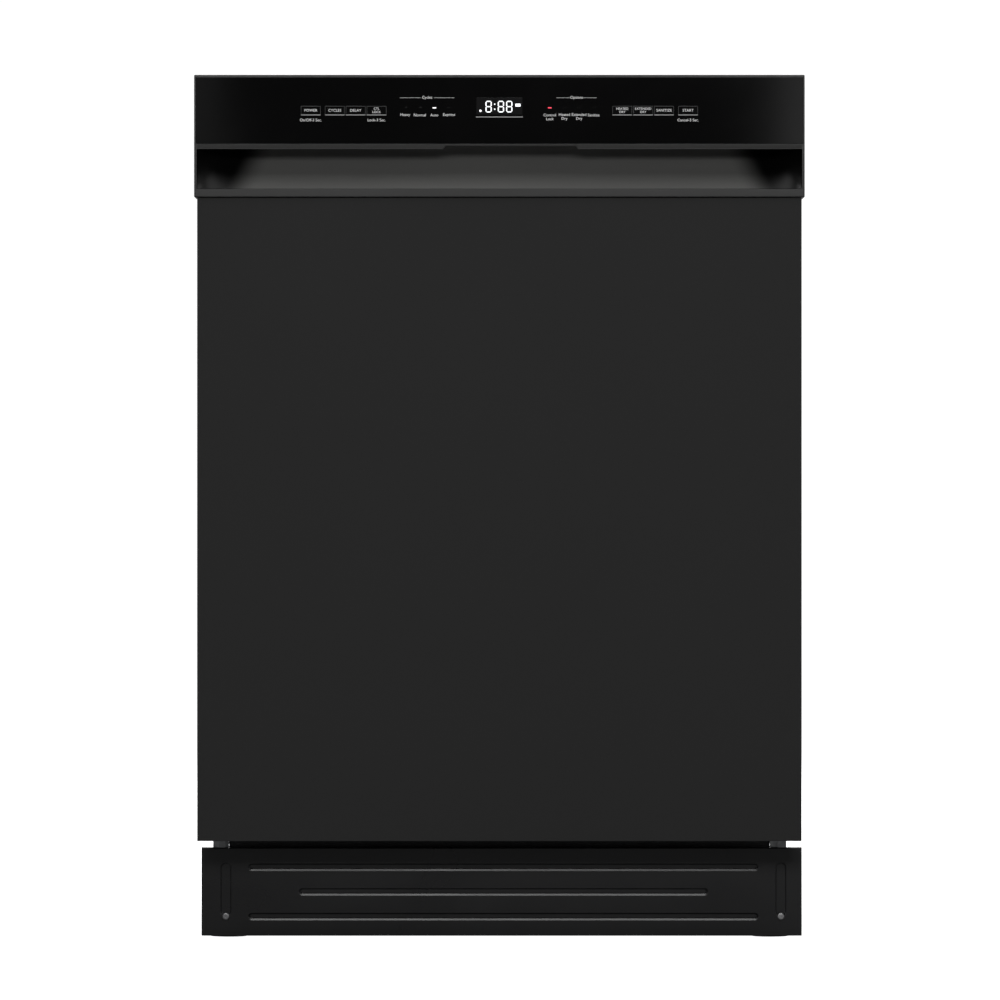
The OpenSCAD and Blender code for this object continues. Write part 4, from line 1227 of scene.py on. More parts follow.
@dataclass
class PanelPrint:
    """The words, rules and lights on the glossy panel."""

    light_z: float = 827.2
    name_z: float = 820.1
    rule_z: float = 837.2
    font: float = 3.9
    light_half: float = 1.9

    def build(self, shop: Paintshop) -> None:
        """Print both groups and set the eight lights.

        Args:
            shop: The paintshop that finishes the pieces.
        """
        front = span("control_lens")[0].y - 0.001
        self._group(shop, "cycles", "Cycles", -71.7, 27.0, front, (-93.5, -79.0, -64.5, -50.0),
                    ("Heavy", "Normal", "Auto", "Express"))
        self._group(shop, "options", "Options", 76.6, 20.1, front, (50.0, 64.5, 79.0, 93.5),
                    ("Control\nLock", "Heated\nDry", "Extended\nDry", "Sanitize"))

    def _group(self, shop: Paintshop, name: str, title: str, middle: float, half: float, front: float,
               places: Sequence[float], names: Sequence[str]) -> None:
        """Print one group: its title between two rules, its four names and its four lights.

        Args:
            shop: The paintshop.
            name: The group's name.
            title: The title.
            middle: The middle of the title.
            half: How far the rules reach from the middle.
            front: The front of the panel.
            places: Where the lights stand.
            names: The name below each light.
        """
        words = [lettering(title, self.font, middle, front, self.rule_z)]
        for side in (-1, 1):
            near, far = sorted((middle + side * 6.6, middle + side * half))
            words.append(block("rule", (near, front - 0.02, self.rule_z - 0.12),
                               (far, front + 0.02, self.rule_z + 0.12)))
        for x, label in zip(places, names):
            drop = 1.9 if "\n" in label else 0.0
            words.append(lettering(label, self.font, x, front, self.name_z - drop))
        shop.fit(join(name + "_print", *words), "door", PRINT_PALE_PAINTED_GLOW)
        for i, x in enumerate(places):
            lens = block(f"{name}_light_{i}", (x - self.light_half, front - 0.01, self.light_z - 0.6),
                         (x + self.light_half, front + 2.2, self.light_z + 0.6))
            round_edges(lens, 0.1)
            lit = {("cycles", 2): GLOW_WHITE, ("options", 0): GLOW_RED}.get((name, i), LIGHT_OFF)
            shop.fit(lens, "door", lit, *(("indicator_lenses",) if (name, i) == ("cycles", 0) else ()))


@dataclass
class Display:
    """The time window: a smoked pane, the figures 8:88 and two small icons."""

    half: float = 23.0
    low_z: float = 820.5
    high_z: float = 837.5
    digit_high: float = 11.6
    digit_wide: float = 6.3
    stroke: float = 1.15

    def build(self, shop: Paintshop) -> None:
        """Model the pane, the figures and the icons.

        Args:
            shop: The paintshop that finishes the pieces.
        """
        front = span("control_lens")[0].y
        pane = block("display_pane", (-self.half, front - 0.02, self.low_z),
                     (self.half, front + 2.4, self.high_z))
        shop.fit(round_edges(pane, 0.3), "door", DISPLAY_SMOKE)
        y0, y1 = front - 0.04, front + 0.3
        figures = [self._digit(x, y0, y1) for x in (-10.7, 1.5, 9.8)]
        for z in (825.2, 830.2):
            figures.append(block("dot", (-5.3, y0, z), (-4.0, y1, z + 1.3)))
        shop.fit(join("display_figures", *figures), "door", GLOW_WHITE)
        rule = block("display_rule", (-self.half - 0.3, front - 0.02, 817.7),
                     (self.half + 0.3, front + 0.05, 818.6))
        shop.fit(rule, "door", PRINT_MID_PAINTED_GLOW)
        shop.fit(self._sun(-18.8, 824.3, y0, y1), "door", GLOW_WHITE)
        shop.fit(self._lock(18.4, 831.8, y0, y1), "door", GLOW_WHITE)

    def _digit(self, x: float, y0: float, y1: float) -> Piece:
        """Model one seven-segment figure with every segment lit.

        Args:
            x: Place across the machine.
            y0: Its front face.
            y1: Its back face.

        Returns:
            The piece.
        """
        s, wide, high = self.stroke, self.digit_wide, self.digit_high
        bottom = (self.low_z + self.high_z - high) / 2 - 0.6
        parts = []
        length = wide - s - 0.5
        flat = [(-length / 2, 0), (-length / 2 + s / 2, s / 2), (length / 2 - s / 2, s / 2), (length / 2, 0),
                (length / 2 - s / 2, -s / 2), (-length / 2 + s / 2, -s / 2)]
        for z in (bottom + s / 2, bottom + high / 2, bottom + high - s / 2):
            parts.append(prism("segment", [(x + u, z + v) for u, v in flat], Axis.Y, y0, y1))
        length = high / 2 - s / 2 - 0.5
        tall = [(0, -length / 2), (s / 2, -length / 2 + s / 2), (s / 2, length / 2 - s / 2), (0, length / 2),
                (-s / 2, length / 2 - s / 2), (-s / 2, -length / 2 + s / 2)]
        for side in (-1, 1):
            for part in (0.25, 0.75):
                z = bottom + s / 2 + (high - s) * part
                parts.append(prism("segment", [(x + side * (wide - s) / 2 + u, z + v) for u, v in tall],
                                   Axis.Y, y0, y1))
        return join("digit", *parts)

    def _sun(self, x: float, z: float, y0: float, y1: float) -> Piece:
        """Model the small round icon with rays.

        Args:
            x: Place across the machine.
            z: Height.
            y0: Its front face.
            y1: Its back face.

        Returns:
            The piece.
        """
        parts = [rod("middle", (x, y0, z), (x, y1, z), 1.2, sides=20)]
        for k in range(8):
            a = k * math.pi / 4
            start = (x + 2.0 * math.cos(a), y0 + 0.28, z + 2.0 * math.sin(a))
            end = (x + 3.2 * math.cos(a), y0 + 0.28, z + 3.2 * math.sin(a))
            parts.append(rod("ray", start, end, 0.2, sides=8))
        return join("icon_sun", *parts)

    def _lock(self, x: float, z: float, y0: float, y1: float) -> Piece:
        """Model the small padlock icon.

        Args:
            x: Place across the machine.
            z: Height.
            y0: Its front face.
            y1: Its back face.

        Returns:
            The piece.
        """
        case = round_edges(block("case", (x - 2.6, y0, z - 3.4), (x + 2.6, y1, z - 0.4)), 0.1)
        arch = [(x + 1.75 * math.cos(a), y0 + 0.3, z + 1.0 + 1.85 * math.sin(a))
                for a in [math.pi * k / 10 for k in range(11)]]
        bow = wire("bow", [(x + 1.75, arch[0][1], z - 0.5), *arch, (x - 1.75, arch[0][1], z - 0.5)], 0.26)
        return join("icon_lock", case, bow)


@dataclass
class ToeKick:
    """The toe kick: one pressed sheet with three beads, two slots and two screws."""

    sheet: float = 0.9
    bead_high: float = 7.6
    bead_deep: float = 1.3
    slot_wide: float = 11.0
    slot_deep: float = 1.1
    grid: float = 0.62
    middle: float = 4.0
    screw_z: float = 21.0
    screw_side: float = 278.0
    beads: tuple[Flat, ...] = ((69.9, 511.0), (45.2, 410.0), (20.4, 511.0))
    slot: Corner = (48.0, 54.0, 11.0)

    def build(self, shop: Paintshop) -> None:
        """Model the sheet, its returns and its screws."""
        self._sheet(shop)
        self._screws(shop)

    def _depth(self, x: float, z: float) -> float:
        """Give how far the sheet is pressed in at one place.

        Args:
            x: Place across the machine.
            z: Height.

        Returns:
            The depth in millimetres.
        """
        depth = 0.0
        for mid_z, length in self.beads:
            straight = (length - self.bead_high) / 2
            away = math.hypot(max(0.0, abs(x - self.middle) - straight), z - mid_z)
            reach = self.bead_high / 2
            if z < mid_z:
                depth = max(depth, 0.45 * min(1.0, max(0.0, (reach - away) / 2.1)))
                depth = max(depth, self.bead_deep * self._wall(away, reach - 1.9, 1.0))
            depth = max(depth, self.bead_deep * self._wall(away, reach, 1.1) * (1.0 if z >= mid_z else 0.0))
        for side in (-1, 1):
            straight = (self.slot[1] - self.slot_wide) / 2
            away = math.hypot(x - self.middle - side * self.screw_side,
                              max(0.0, abs(z - self.slot[0]) - straight))
            depth = max(depth, self.slot_deep * self._wall(away, self.slot_wide / 2, 1.2))
        return depth

    @staticmethod
    def _wall(away: float, reach: float, run: float) -> float:
        """Give the share of the full depth at a distance from the middle line."""
        t = min(1.0, max(0.0, (reach - away) / run))
        return t * t * (3 - 2 * t)

    def _sheet(self, shop: Paintshop) -> None:
        """Form the pressed front and fold its top and sides back.

        Args:
            shop: The paintshop that finishes the pieces.
        """
        low, high = span("toe_kick")
        half = self.bead_high / 2
        dense_z = [(mid - half - 0.1, mid + half + 0.1) for mid, _ in self.beads]
        dense_z += [(self.slot[0] + s * self.slot[1] / 2 - (6 if s > 0 else 0.2),
                     self.slot[0] + s * self.slot[1] / 2 + (0.2 if s > 0 else 6)) for s in (-1, 1)]
        dense_x = []
        for _, length in self.beads[:2]:
            for side in (-1, 1):
                tip = self.middle + side * length / 2
                dense_x.append(tuple(sorted((tip + side * 0.2, tip - side * 4.2))))
        for side in (-1, 1):
            centre = self.middle + side * self.screw_side
            dense_x.append((centre - 5.7, centre + 5.7))
        bend = 1.6
        front_lines = grid_lines(low.z, high.z - bend, dense_z, self.grid)
        xs = grid_lines(low.x, high.x, dense_x, self.grid)
        levels = front_lines + [high.z + k for k in (1, 2, 3, 4)]

        def shape(x: float, level: float) -> Corner:
            """Give the sheet's outer face at one grid crossing.

            Args:
                x: Place across the machine.
                level: The grid line along the sheet.

            Returns:
                The point on the sheet.
            """
            if level <= high.z - bend:
                return x, low.y + self._depth(x, level), level
            k = round(level - high.z)
            if k <= 3:
                turn = math.radians(30 * k)
                return x, low.y + bend * (1 - math.cos(turn)), high.z - bend + bend * math.sin(turn)
            return x, high.y, high.z

        sheet = formed("toe_kick_sheet", xs, levels, shape)
        facing = sheet.data.polygons[0].normal.y < 0
        thicken(sheet, self.sheet, offset=-1.0 if facing else 1.0)
        sides = [block("return", (x0, low.y + 0.5, low.z), (x0 + self.sheet, high.y, high.z - bend))
                 for x0 in (low.x, high.x - self.sheet)]
        kick = flatten(join("toe_kick_sheet", sheet, *sides), 35)
        shop.fit(kick, "chassis", KICK_PAINT, "toe_kick")

    def _screws(self, shop: Paintshop) -> None:
        """Model the two pan-head screws with their cross recesses.

        Args:
            shop: The paintshop that finishes the pieces.
        """
        front = span("kick_screws")[0].y
        for name, side in (("left", -1), ("right", 1)):
            x = self.middle + side * self.screw_side
            head = rod("head", (x, front + 2.1, self.screw_z), (x, front, self.screw_z), 4.0, sides=40,
                       tip=3.3)
            round_edges(head, 0.5, segments=3)
            for wide, tall in ((3.6, 0.9), (0.9, 3.6)):
                carve(head, block("cross", (x - wide / 2, front - 1, self.screw_z - tall / 2),
                                  (x + wide / 2, front + 1.3, self.screw_z + tall / 2)))
            shank = rod("shank", (x, front + 2.0, self.screw_z), (x, front + 6.4, self.screw_z), 1.9,
                        sides=24)
            screw = smooth(join(f"kick_screw_{name}", head, shank), 30)
            shop.fit(screw, "chassis", SCREW_STEEL, *(("kick_screws",) if side < 0 else ()))


@dataclass
class ShadeSheet:
    """A dark sheet that hangs behind the toe kick: painted shade that keeps the gap between the door and the
    toe kick dark.
    """

    half: float = 270.6
    thick: float = 2.0

    def build(self, shop: Paintshop) -> None:
        """Model the shade sheet between the base pan and the tub.

        Args:
            shop: The paintshop that finishes the pieces.
        """
        y = span("base_pan")[0].y + 4.0
        xs = [-self.half + 2 * self.half * k / 60 for k in range(61)]
        zs = [62.0 + 61.0 * k / 8 for k in range(9)]

        def shape(x: float, z: float) -> Corner:
            """Give the sheet's slightly wavy face."""
            return x, y + 0.7 * math.sin(x / 21.0) * (124 - z) / 60, z

        # The sheet is painted shade: a dark sheet put in the gap where only shade shows.
        shade_sheet = thicken(formed("painted_shade_sheet", xs, zs, shape), self.thick, offset=0)
        shop.fit(smooth(shade_sheet, 50), "chassis", BITUMEN_AND_SHADE_SHEET)


@dataclass
class Foot:
    """A levelling foot: a disc, a hexagon and a threaded stem."""

    disc: float = 19.0
    disc_high: float = 7.0
    stem: float = 5.0
    pitch: float = 1.75

    def build(self, shop: Paintshop) -> None:
        """Model one foot, then copy it to the other three corners.

        Args:
            shop: The paintshop that finishes the pieces.
        """
        names = ("foot_front_left", "foot_front_right", "foot_rear_left", "foot_rear_right")
        first = span(names[0])
        home = (first[0] + first[1]) / 2
        pattern = self._model(home.x, home.y, first[1].z)
        for name in names:
            low, high = span(name)
            middle = (low + high) / 2
            copy = pattern.copy()
            copy.data = pattern.data.copy()
            copy.name = name + "_leveller"
            bpy.context.collection.objects.link(copy)
            select_only(copy)
            copy.location = Vector((middle.x - home.x, middle.y - home.y, 0)) * MM
            bpy.ops.object.transform_apply(location=True, rotation=False, scale=False)
            shop.fit(copy, name + "_body", DARK_PLASTIC, name)
        bpy.data.objects.remove(pattern)

    def _model(self, x: float, y: float, top: float) -> Piece:
        """Model a foot at one place.

        Args:
            x: Place across the machine.
            y: Place from front to back.
            top: The stem's top.

        Returns:
            The piece.
        """
        disc = round_edges(rod("disc", (x, y, 0), (x, y, self.disc_high), self.disc, 48, self.disc - 2.5),
                           1.2, 3)
        nut = round_edges(rod("nut", (x, y, self.disc_high - 1), (x, y, 15), 9.0, 6), 0.6, 2)
        stem = rod("stem", (x, y, 14), (x, y, top), self.stem - 0.8, 24)
        thread = ring("thread", (x, y, 16.2), self.stem - 0.85, 0.62, Axis.Z, 24)
        row(thread, (0, 0, self.pitch), int((top - 17.5) / self.pitch))
        return smooth(join("foot_pattern", disc, nut, stem, smooth(thread, 80)), 40)


@dataclass
class RackShape:
    """The sizes that the two wire racks share."""

    rim: float = 2.4
    thin: float = 1.6
    corner: float = 14.0
    across_pitch: float = 25.0
    along_pitch: float = 32.0

    def loop(self, name: str, low: Vector, high: Vector, z: float, radius: float) -> Piece:
        """Draw a level loop of wire round the rack.

        Args:
            name: The loop's name.
            low: The rack's lowest corner.
            high: The rack's highest corner.
            z: The loop's height.
            radius: The wire's radius.

        Returns:
            The loop.
        """
        inset = self.rim
        x, y0, y1 = high.x - inset, low.y + inset, high.y - inset
        corners = [(-x, y0, z), (x, y0, z), (x, y1, z), (-x, y1, z)]
        return wire(name, bent(corners, self.corner, closed=True), radius, closed=True, roundness=2)

    def hoops(self, low: Vector, high: Vector) -> list[Piece]:
        """Draw the bent wires that run down one wall, over the floor and up the other.

        Args:
            low: The lowest corner of the space it fills.
            high: The highest corner of that space.

        Returns:
            The pieces.
        """
        t = self.thin
        x, y0, y1 = high.x - 2 * self.rim, low.y + 2 * self.rim, high.y - 2 * self.rim
        bottom, top = low.z + t, high.z - self.rim
        across = wire("hoop", bent([(-x, y0 + 14, top), (-x, y0 + 14, bottom), (x, y0 + 14, bottom),
                                    (x, y0 + 14, top)], 9), t)
        spread(across, (0, y1 - y0 - 28, 0), self.across_pitch)
        along = wire("hoop", bent([(-x + 14, y0, top), (-x + 14, y0, bottom + 2 * t),
                                   (-x + 14, y1, bottom + 2 * t),
                                   (-x + 14, y1, top)], 9), t)
        spread(along, (2 * x - 28, 0, 0), self.along_pitch)
        return [across, along]


def comb(name: str, x: Flat, y: float, z: Flat, pitch: float, radius: float = 1.6) -> Piece:
    """Draw a row of plate tines on one foot wire.

    Args:
        name: The comb's name.
        x: Where the row starts and ends.
        y: Where it stands.
        z: The heights of the foot wire and the tips.
        pitch: The spacing of the tines.
        radius: The wire's radius.

    Returns:
        The comb.
    """
    foot = wire("foot", [(x[0] - 5, y, z[0]), (x[1] + 5, y, z[0])], radius, roundness=2)
    tine = wire("tine", [(x[0], y, z[0]), (x[0], y, z[1] - 6), (x[0], y - 0.2, z[1] - 1.5)], radius,
                roundness=2)
    tip = rod("tip", (x[0], y - 0.1, z[1] - 2.2), (x[0], y - 0.2, z[1]), radius * 1.05, 12, radius * 0.5)
    upright = join("tine", tine, tip)
    spread(upright, (x[1] - x[0], 0, 0), pitch)
    return smooth(join(name, foot, upright), 60)


@dataclass
class LowerRack:
    """The lower rack with its fixed and folding tines and its wheels."""

    shape: RackShape = field(default_factory=RackShape)
    body: str = "lower_basket"
    floor: float = 172.0
    side: float = 250.0
    high: float = 300.0
    bands: Flat = (214.0, 256.0)
    tine_y: float = -77.5
    tine_levels: Flat = (178.4, 286.0)
    tine_pitch: float = 25.6
    bracket_ys: Flat = (-113.0, 180.0)
    axle_z: float = 160.3
    axle: float = 2.9
    wheel: float = 16.0

    def build(self, shop: Paintshop) -> None:
        """Model the rack, its tines and its wheels.

        Args:
            shop: The paintshop that finishes the pieces.
        """
        low, high = span("lower_rack")
        inner_low = Vector((-self.side, low.y, self.floor))
        inner_high = Vector((self.side, high.y, self.high))
        rim, thin = self.shape.rim, self.shape.thin
        parts = [self.shape.loop("rim", inner_low, inner_high, self.high - rim, rim)]
        parts += [self.shape.loop("band", inner_low, inner_high, z, thin) for z in self.bands]
        parts += self.shape.hoops(inner_low, inner_high)
        for y in self.bracket_ys:
            plate = round_edges(block("bracket", (246, y - 9, 153.5), (249.6, y + 9, 178)), 1.0, 3)
            pin = round_edges(rod("axle", (249, y, self.axle_z), (262.2, y, self.axle_z), self.axle, 24),
                              0.3)
            cap = round_edges(rod("cap", (261.9, y, self.axle_z), (263.0, y, self.axle_z), 4.9, 32), 0.4)
            parts.append(both_sides(join("wheel_mount", plate, pin, cap)))
        tine_x = self._tines()
        parts.append(comb("fixed_tines", tine_x, self.tine_y, self.tine_levels, self.tine_pitch))
        shop.fit(join("lower_rack_wires", *parts), self.body, RACK_COAT, "lower_rack")
        fold_low, fold_high = span("lower_tines")
        tines = comb("folding_tines", tine_x, (fold_low.y + fold_high.y) / 2, (fold_low.z + 2, fold_high.z),
                     self.tine_pitch)
        shop.fit(tines, "lower_tines_body", RACK_COAT, "lower_tines")
        self._wheels(shop)

    def _tines(self) -> Flat:
        """Give where the rows of tines start and end."""
        low, high = span("lower_tines")
        return low.x + 6, high.x - 6

    def _wheels(self, shop: Paintshop) -> None:
        """Model the four wheels, two on each turning body.

        Args:
            shop: The paintshop that finishes the pieces.
        """
        for node in ("lower_wheels_front", "lower_wheels_rear"):
            low, high = span(node)
            y, z = (low.y + high.y) / 2, (low.z + high.z) / 2
            x0, x1 = high.x - 7.5, high.x
            tyre = round_edges(rod("tyre", (x0, y, z), (x1, y, z), self.wheel, 48), 1.3, 3)
            carve(tyre, rod("dish", (x0 - 2, y, z), (x0 + 2.2, y, z), self.wheel - 4, 48),
                  rod("dish", (x1 - 2.2, y, z), (x1 + 2, y, z), self.wheel - 4, 48),
                  rod("bore", (x0 - 2, y, z), (x1 + 2, y, z), 3.05, 32))
            hub = rod("hub", (x0 + 0.3, y, z), (x1 - 0.3, y, z), 6.0, 32)
            carve(hub, rod("bore", (x0 - 2, y, z), (x1 + 2, y, z), 3.05, 32))
            holes = [rod("hole", (x0 - 2, y + 9 * math.cos(a), z + 9 * math.sin(a)),
                         (x1 + 2, y + 9 * math.cos(a), z + 9 * math.sin(a)), 1.9, 16)
                     for a in [k * math.pi / 3 for k in range(6)]]
            carve(tyre, *holes)
            wheels = both_sides(smooth(join(node + "_pair", tyre, hub), 35))
            shop.fit(wheels, node + "_body", GREY_PLASTIC, node)


@dataclass
class Basket:
    """The cutlery basket: a moulded lattice with three cells."""

    wall: float = 2.2
    slat: float = 2.6
    pitch: float = 8.2
    cells: int = 3

    def build(self, shop: Paintshop) -> None:
        """Model the walls, dividers, bands and floor.

        Args:
            shop: The paintshop that finishes the pieces.
        """
        low, high = span("cutlery_basket")
        parts = []
        cell = (high.y - low.y - self.wall) / self.cells
        cross = [low.y + cell * k for k in range(self.cells + 1)]
        top = high.z - 1
        for x in (low.x, high.x - self.wall):
            parts.append(self._slats((x, low.y, low.z), (x + self.wall, low.y + self.slat, top),
                                     (0, high.y - low.y - self.slat, 0)))
        for y in cross:
            parts.append(self._slats((low.x, y, low.z), (low.x + self.slat, y + self.wall, top),
                                     (high.x - low.x - self.slat, 0, 0)))
        for z, tall in ((low.z + 2, 8.0), (low.z + 50, 5.0), (high.z - 9, 9.0)):
            for x in (low.x, high.x - self.wall):
                parts.append(block("band", (x, low.y, z), (x + self.wall, high.y, z + tall)))
            for y in cross:
                parts.append(block("band", (low.x, y, z), (high.x, y + self.wall, z + tall)))
        parts.append(self._floor(low, high))
        shop.fit(join("cutlery_basket_lattice", *parts), "lower_basket", GREY_PLASTIC, "cutlery_basket")

    def _slats(self, start: Corner, end: Corner, room: Corner) -> Piece:
        """Model a wall's upright slats.

        Args:
            start: The first slat's lowest corner.
            end: The first slat's highest corner.
            room: The way from the first slat to the last.

        Returns:
            The slats.
        """
        return spread(round_edges(block("slat", start, end), 0.4, 1), room, self.pitch)

    def _floor(self, low: Vector, high: Vector) -> Piece:
        """Model the floor's bars both ways.

        Args:
            low: The basket's lowest corner.
            high: The basket's highest corner.

        Returns:
            The floor.
        """
        bar = block("bar", (low.x, low.y, low.z), (high.x, low.y + self.slat, low.z + self.wall))
        spread(bar, (0, high.y - low.y - self.slat, 0), self.pitch)
        long_bar = block("bar", (low.x, low.y, low.z), (low.x + self.slat, high.y, low.z + self.wall * 0.9))
        spread(long_bar, (high.x - low.x - self.slat, 0, 0), self.pitch)
        return join("floor", bar, long_bar)


@dataclass
class UpperRack:
    """The upper rack with its cup shelf, shoes and water pipe."""

    shape: RackShape = field(default_factory=RackShape)
    body: str = "upper_basket"
    side: float = 250.0
    floor: float = 478.0
    rear: float = 230.0
    bands: Flat = (515.0, 552.0)
    shoe_ys: Flat = (48.0, 218.0)
    shoe_half: float = 6.8

    def build(self, shop: Paintshop) -> None:
        """Model the rack, the pipe and the shelf.

        Args:
            shop: The paintshop that finishes the pieces.
        """
        low, high = span("upper_rack")
        inner_low = Vector((-self.side, low.y, self.floor))
        inner_high = Vector((self.side, self.rear, high.z))
        rim, thin = self.shape.rim, self.shape.thin
        parts = [self.shape.loop("rim", inner_low, inner_high, high.z - rim, rim)]
        parts += [self.shape.loop("band", inner_low, inner_high, z, thin) for z in self.bands]
        parts += self.shape.hoops(inner_low, inner_high)
        for y in self.shoe_ys:
            stem = block("stem", (246.2, y - self.shoe_half, 566.2), (253, y + self.shoe_half, 573.8))
            shoe = block("shoe", (252.2, y - self.shoe_half, 561.9), (261.0, y + self.shoe_half, 578.1))
            parts.append(both_sides(join("shoe", round_edges(stem, 0.8), round_edges(shoe, 1.4, 3))))
        shop.fit(join("upper_rack_wires", *parts), self.body, RACK_COAT, "upper_rack")
        self._pipe(shop, low, high)
        self._shelf(shop)

    def _pipe(self, shop: Paintshop, low: Vector, high: Vector) -> None:
        """Model the pipe that feeds the spray arm below the rack.

        Args:
            shop: The paintshop that finishes the pieces.
            low: The lowest corner of the space it fills.
            high: The highest corner of that space.
        """
        arm_low, arm_high = span("upper_spray_arm")
        hub_y = (arm_low.y + arm_high.y) / 2
        pipe = round_edges(rod("pipe", (0, hub_y, 473), (0, high.y - 0.2, 473), 4.3, 24), 0.5)
        post = round_edges(rod("post", (0, hub_y, 465.6), (0, hub_y, 477), 9.8, 40), 0.8, 3)
        pin = rod("pin", (0, hub_y, 448), (0, hub_y, 470), 4.9, 32)
        nut = round_edges(rod("nut", (0, hub_y, low.z + 0.1), (0, hub_y, 451.4), 9.8, 8), 0.7, 2)
        shop.fit(smooth(join("rack_water_pipe", pipe, post, pin, nut), 35), self.body, GREY_PLASTIC)

    def _shelf(self, shop: Paintshop) -> None:
        """Model the folding cup shelf.

        Args:
            shop: The paintshop that finishes the pieces.
        """
        low, high = span("cup_shelf")
        r = 1.7
        x0, x1, y0, y1 = low.x + r, high.x - r, low.y + r, high.y - r
        z = (low.z + high.z) / 2
        corners = [(x0, y0, z), (x1, y0, z), (x1, y1, z), (x0, y1, z)]
        frame_wire = wire("frame", bent(corners, 12, closed=True), r, closed=True, roundness=2)
        cross = wire("cross", [(x0, y0 + 18, z), (x1, y0 + 18, z)], 1.3)
        spread(cross, (0, y1 - y0 - 36, 0), 26)
        spine = wire("spine", [((x0 + x1) / 2, y0, z), ((x0 + x1) / 2, y1, z)], 1.3)
        shop.fit(join("cup_shelf_wires", frame_wire, cross, spine), "cup_shelf_body", RACK_COAT, "cup_shelf")


@dataclass
class SprayArm:
    """A spray arm: two swept blades on a hub, with nozzles."""

    node: str = "lower_spray_arm"
    blade: float = 42.0
    pin: float = 6.0

    def build(self, shop: Paintshop) -> None:
        """Model the arm.

        Args:
            shop: The paintshop that finishes the pieces.
        """
        low, high = span(self.node)
        reach, middle_y = high.x, (low.y + high.y) / 2
        z0, z1 = low.z, high.z
        arm = prism("arm", self._outline(reach, middle_y), Axis.Z, z0 + 2.2, z1 - 1.2)
        round_edges(arm, 2.6, segments=3, angle=50)
        hub = round_edges(rod("hub", (0, middle_y, z0), (0, middle_y, z1), 21.8, 56, 19.5), 1.6, 3)
        bore = rod("bore", (0, middle_y, z0 - 2), (0, middle_y, z1 + 2), self.pin + 0.05, 40)
        carve(hub, bore)
        carve(arm, rod("bore", (0, middle_y, z0 - 2), (0, middle_y, z1 + 2), 18, 40))
        parts = [arm, hub]
        for side in (-1, 1):
            for k in range(1, 6):
                x = side * reach * (0.15 + 0.145 * k)
                y = middle_y + self._sweep(abs(x) / reach) * side
                nozzle = rod("nozzle", (x, y, z1 - 1.6), (x, y, z1 - 0.1), 4.4, 24, 3.1)
                carve(nozzle, block("slit", (x - 2.4, y - 0.6, z1 - 1.2), (x + 2.4, y + 0.6, z1 + 1)))
                parts.append(nozzle)
        shop.fit(smooth(join(self.node + "_blades", *parts), 35), self.node + "_body", SPRAY_GREY, self.node)

    def _sweep(self, share: float) -> float:
        """Give how far a blade's middle line bends sideways."""
        return self.blade * 0.16 * math.sin(share * math.pi)

    def _outline(self, reach: float, middle_y: float) -> list[Flat]:
        """Trace the arm: one blade's edges, then the same turned half a circle.

        Args:
            reach: How far the arm reaches from its hub.
            middle_y: Where its hub stands.

        Returns:
            The outline.
        """
        steps = 16
        blade: list[Flat] = []
        for k in range(1, steps):
            share = k / steps * 0.955
            half = self.blade / 2 * (0.82 - 0.34 * share)
            blade.append((share * reach, self._sweep(share) - half))
        tip = self.blade / 2 * 0.48
        for k in range(9):
            a = -math.pi / 2 + math.pi * k / 8
            blade.append((reach - tip * 0.93 + tip * 0.93 * math.cos(a),
                          self._sweep(0.955) + tip * math.sin(a)))
        for k in range(steps - 1, 0, -1):
            share = k / steps * 0.955
            half = self.blade / 2 * (0.82 - 0.34 * share)
            blade.append((share * reach, self._sweep(share) + half))
        turned = [(-x, -y) for x, y in blade]
        return [(x, y + middle_y) for x, y in blade + turned]


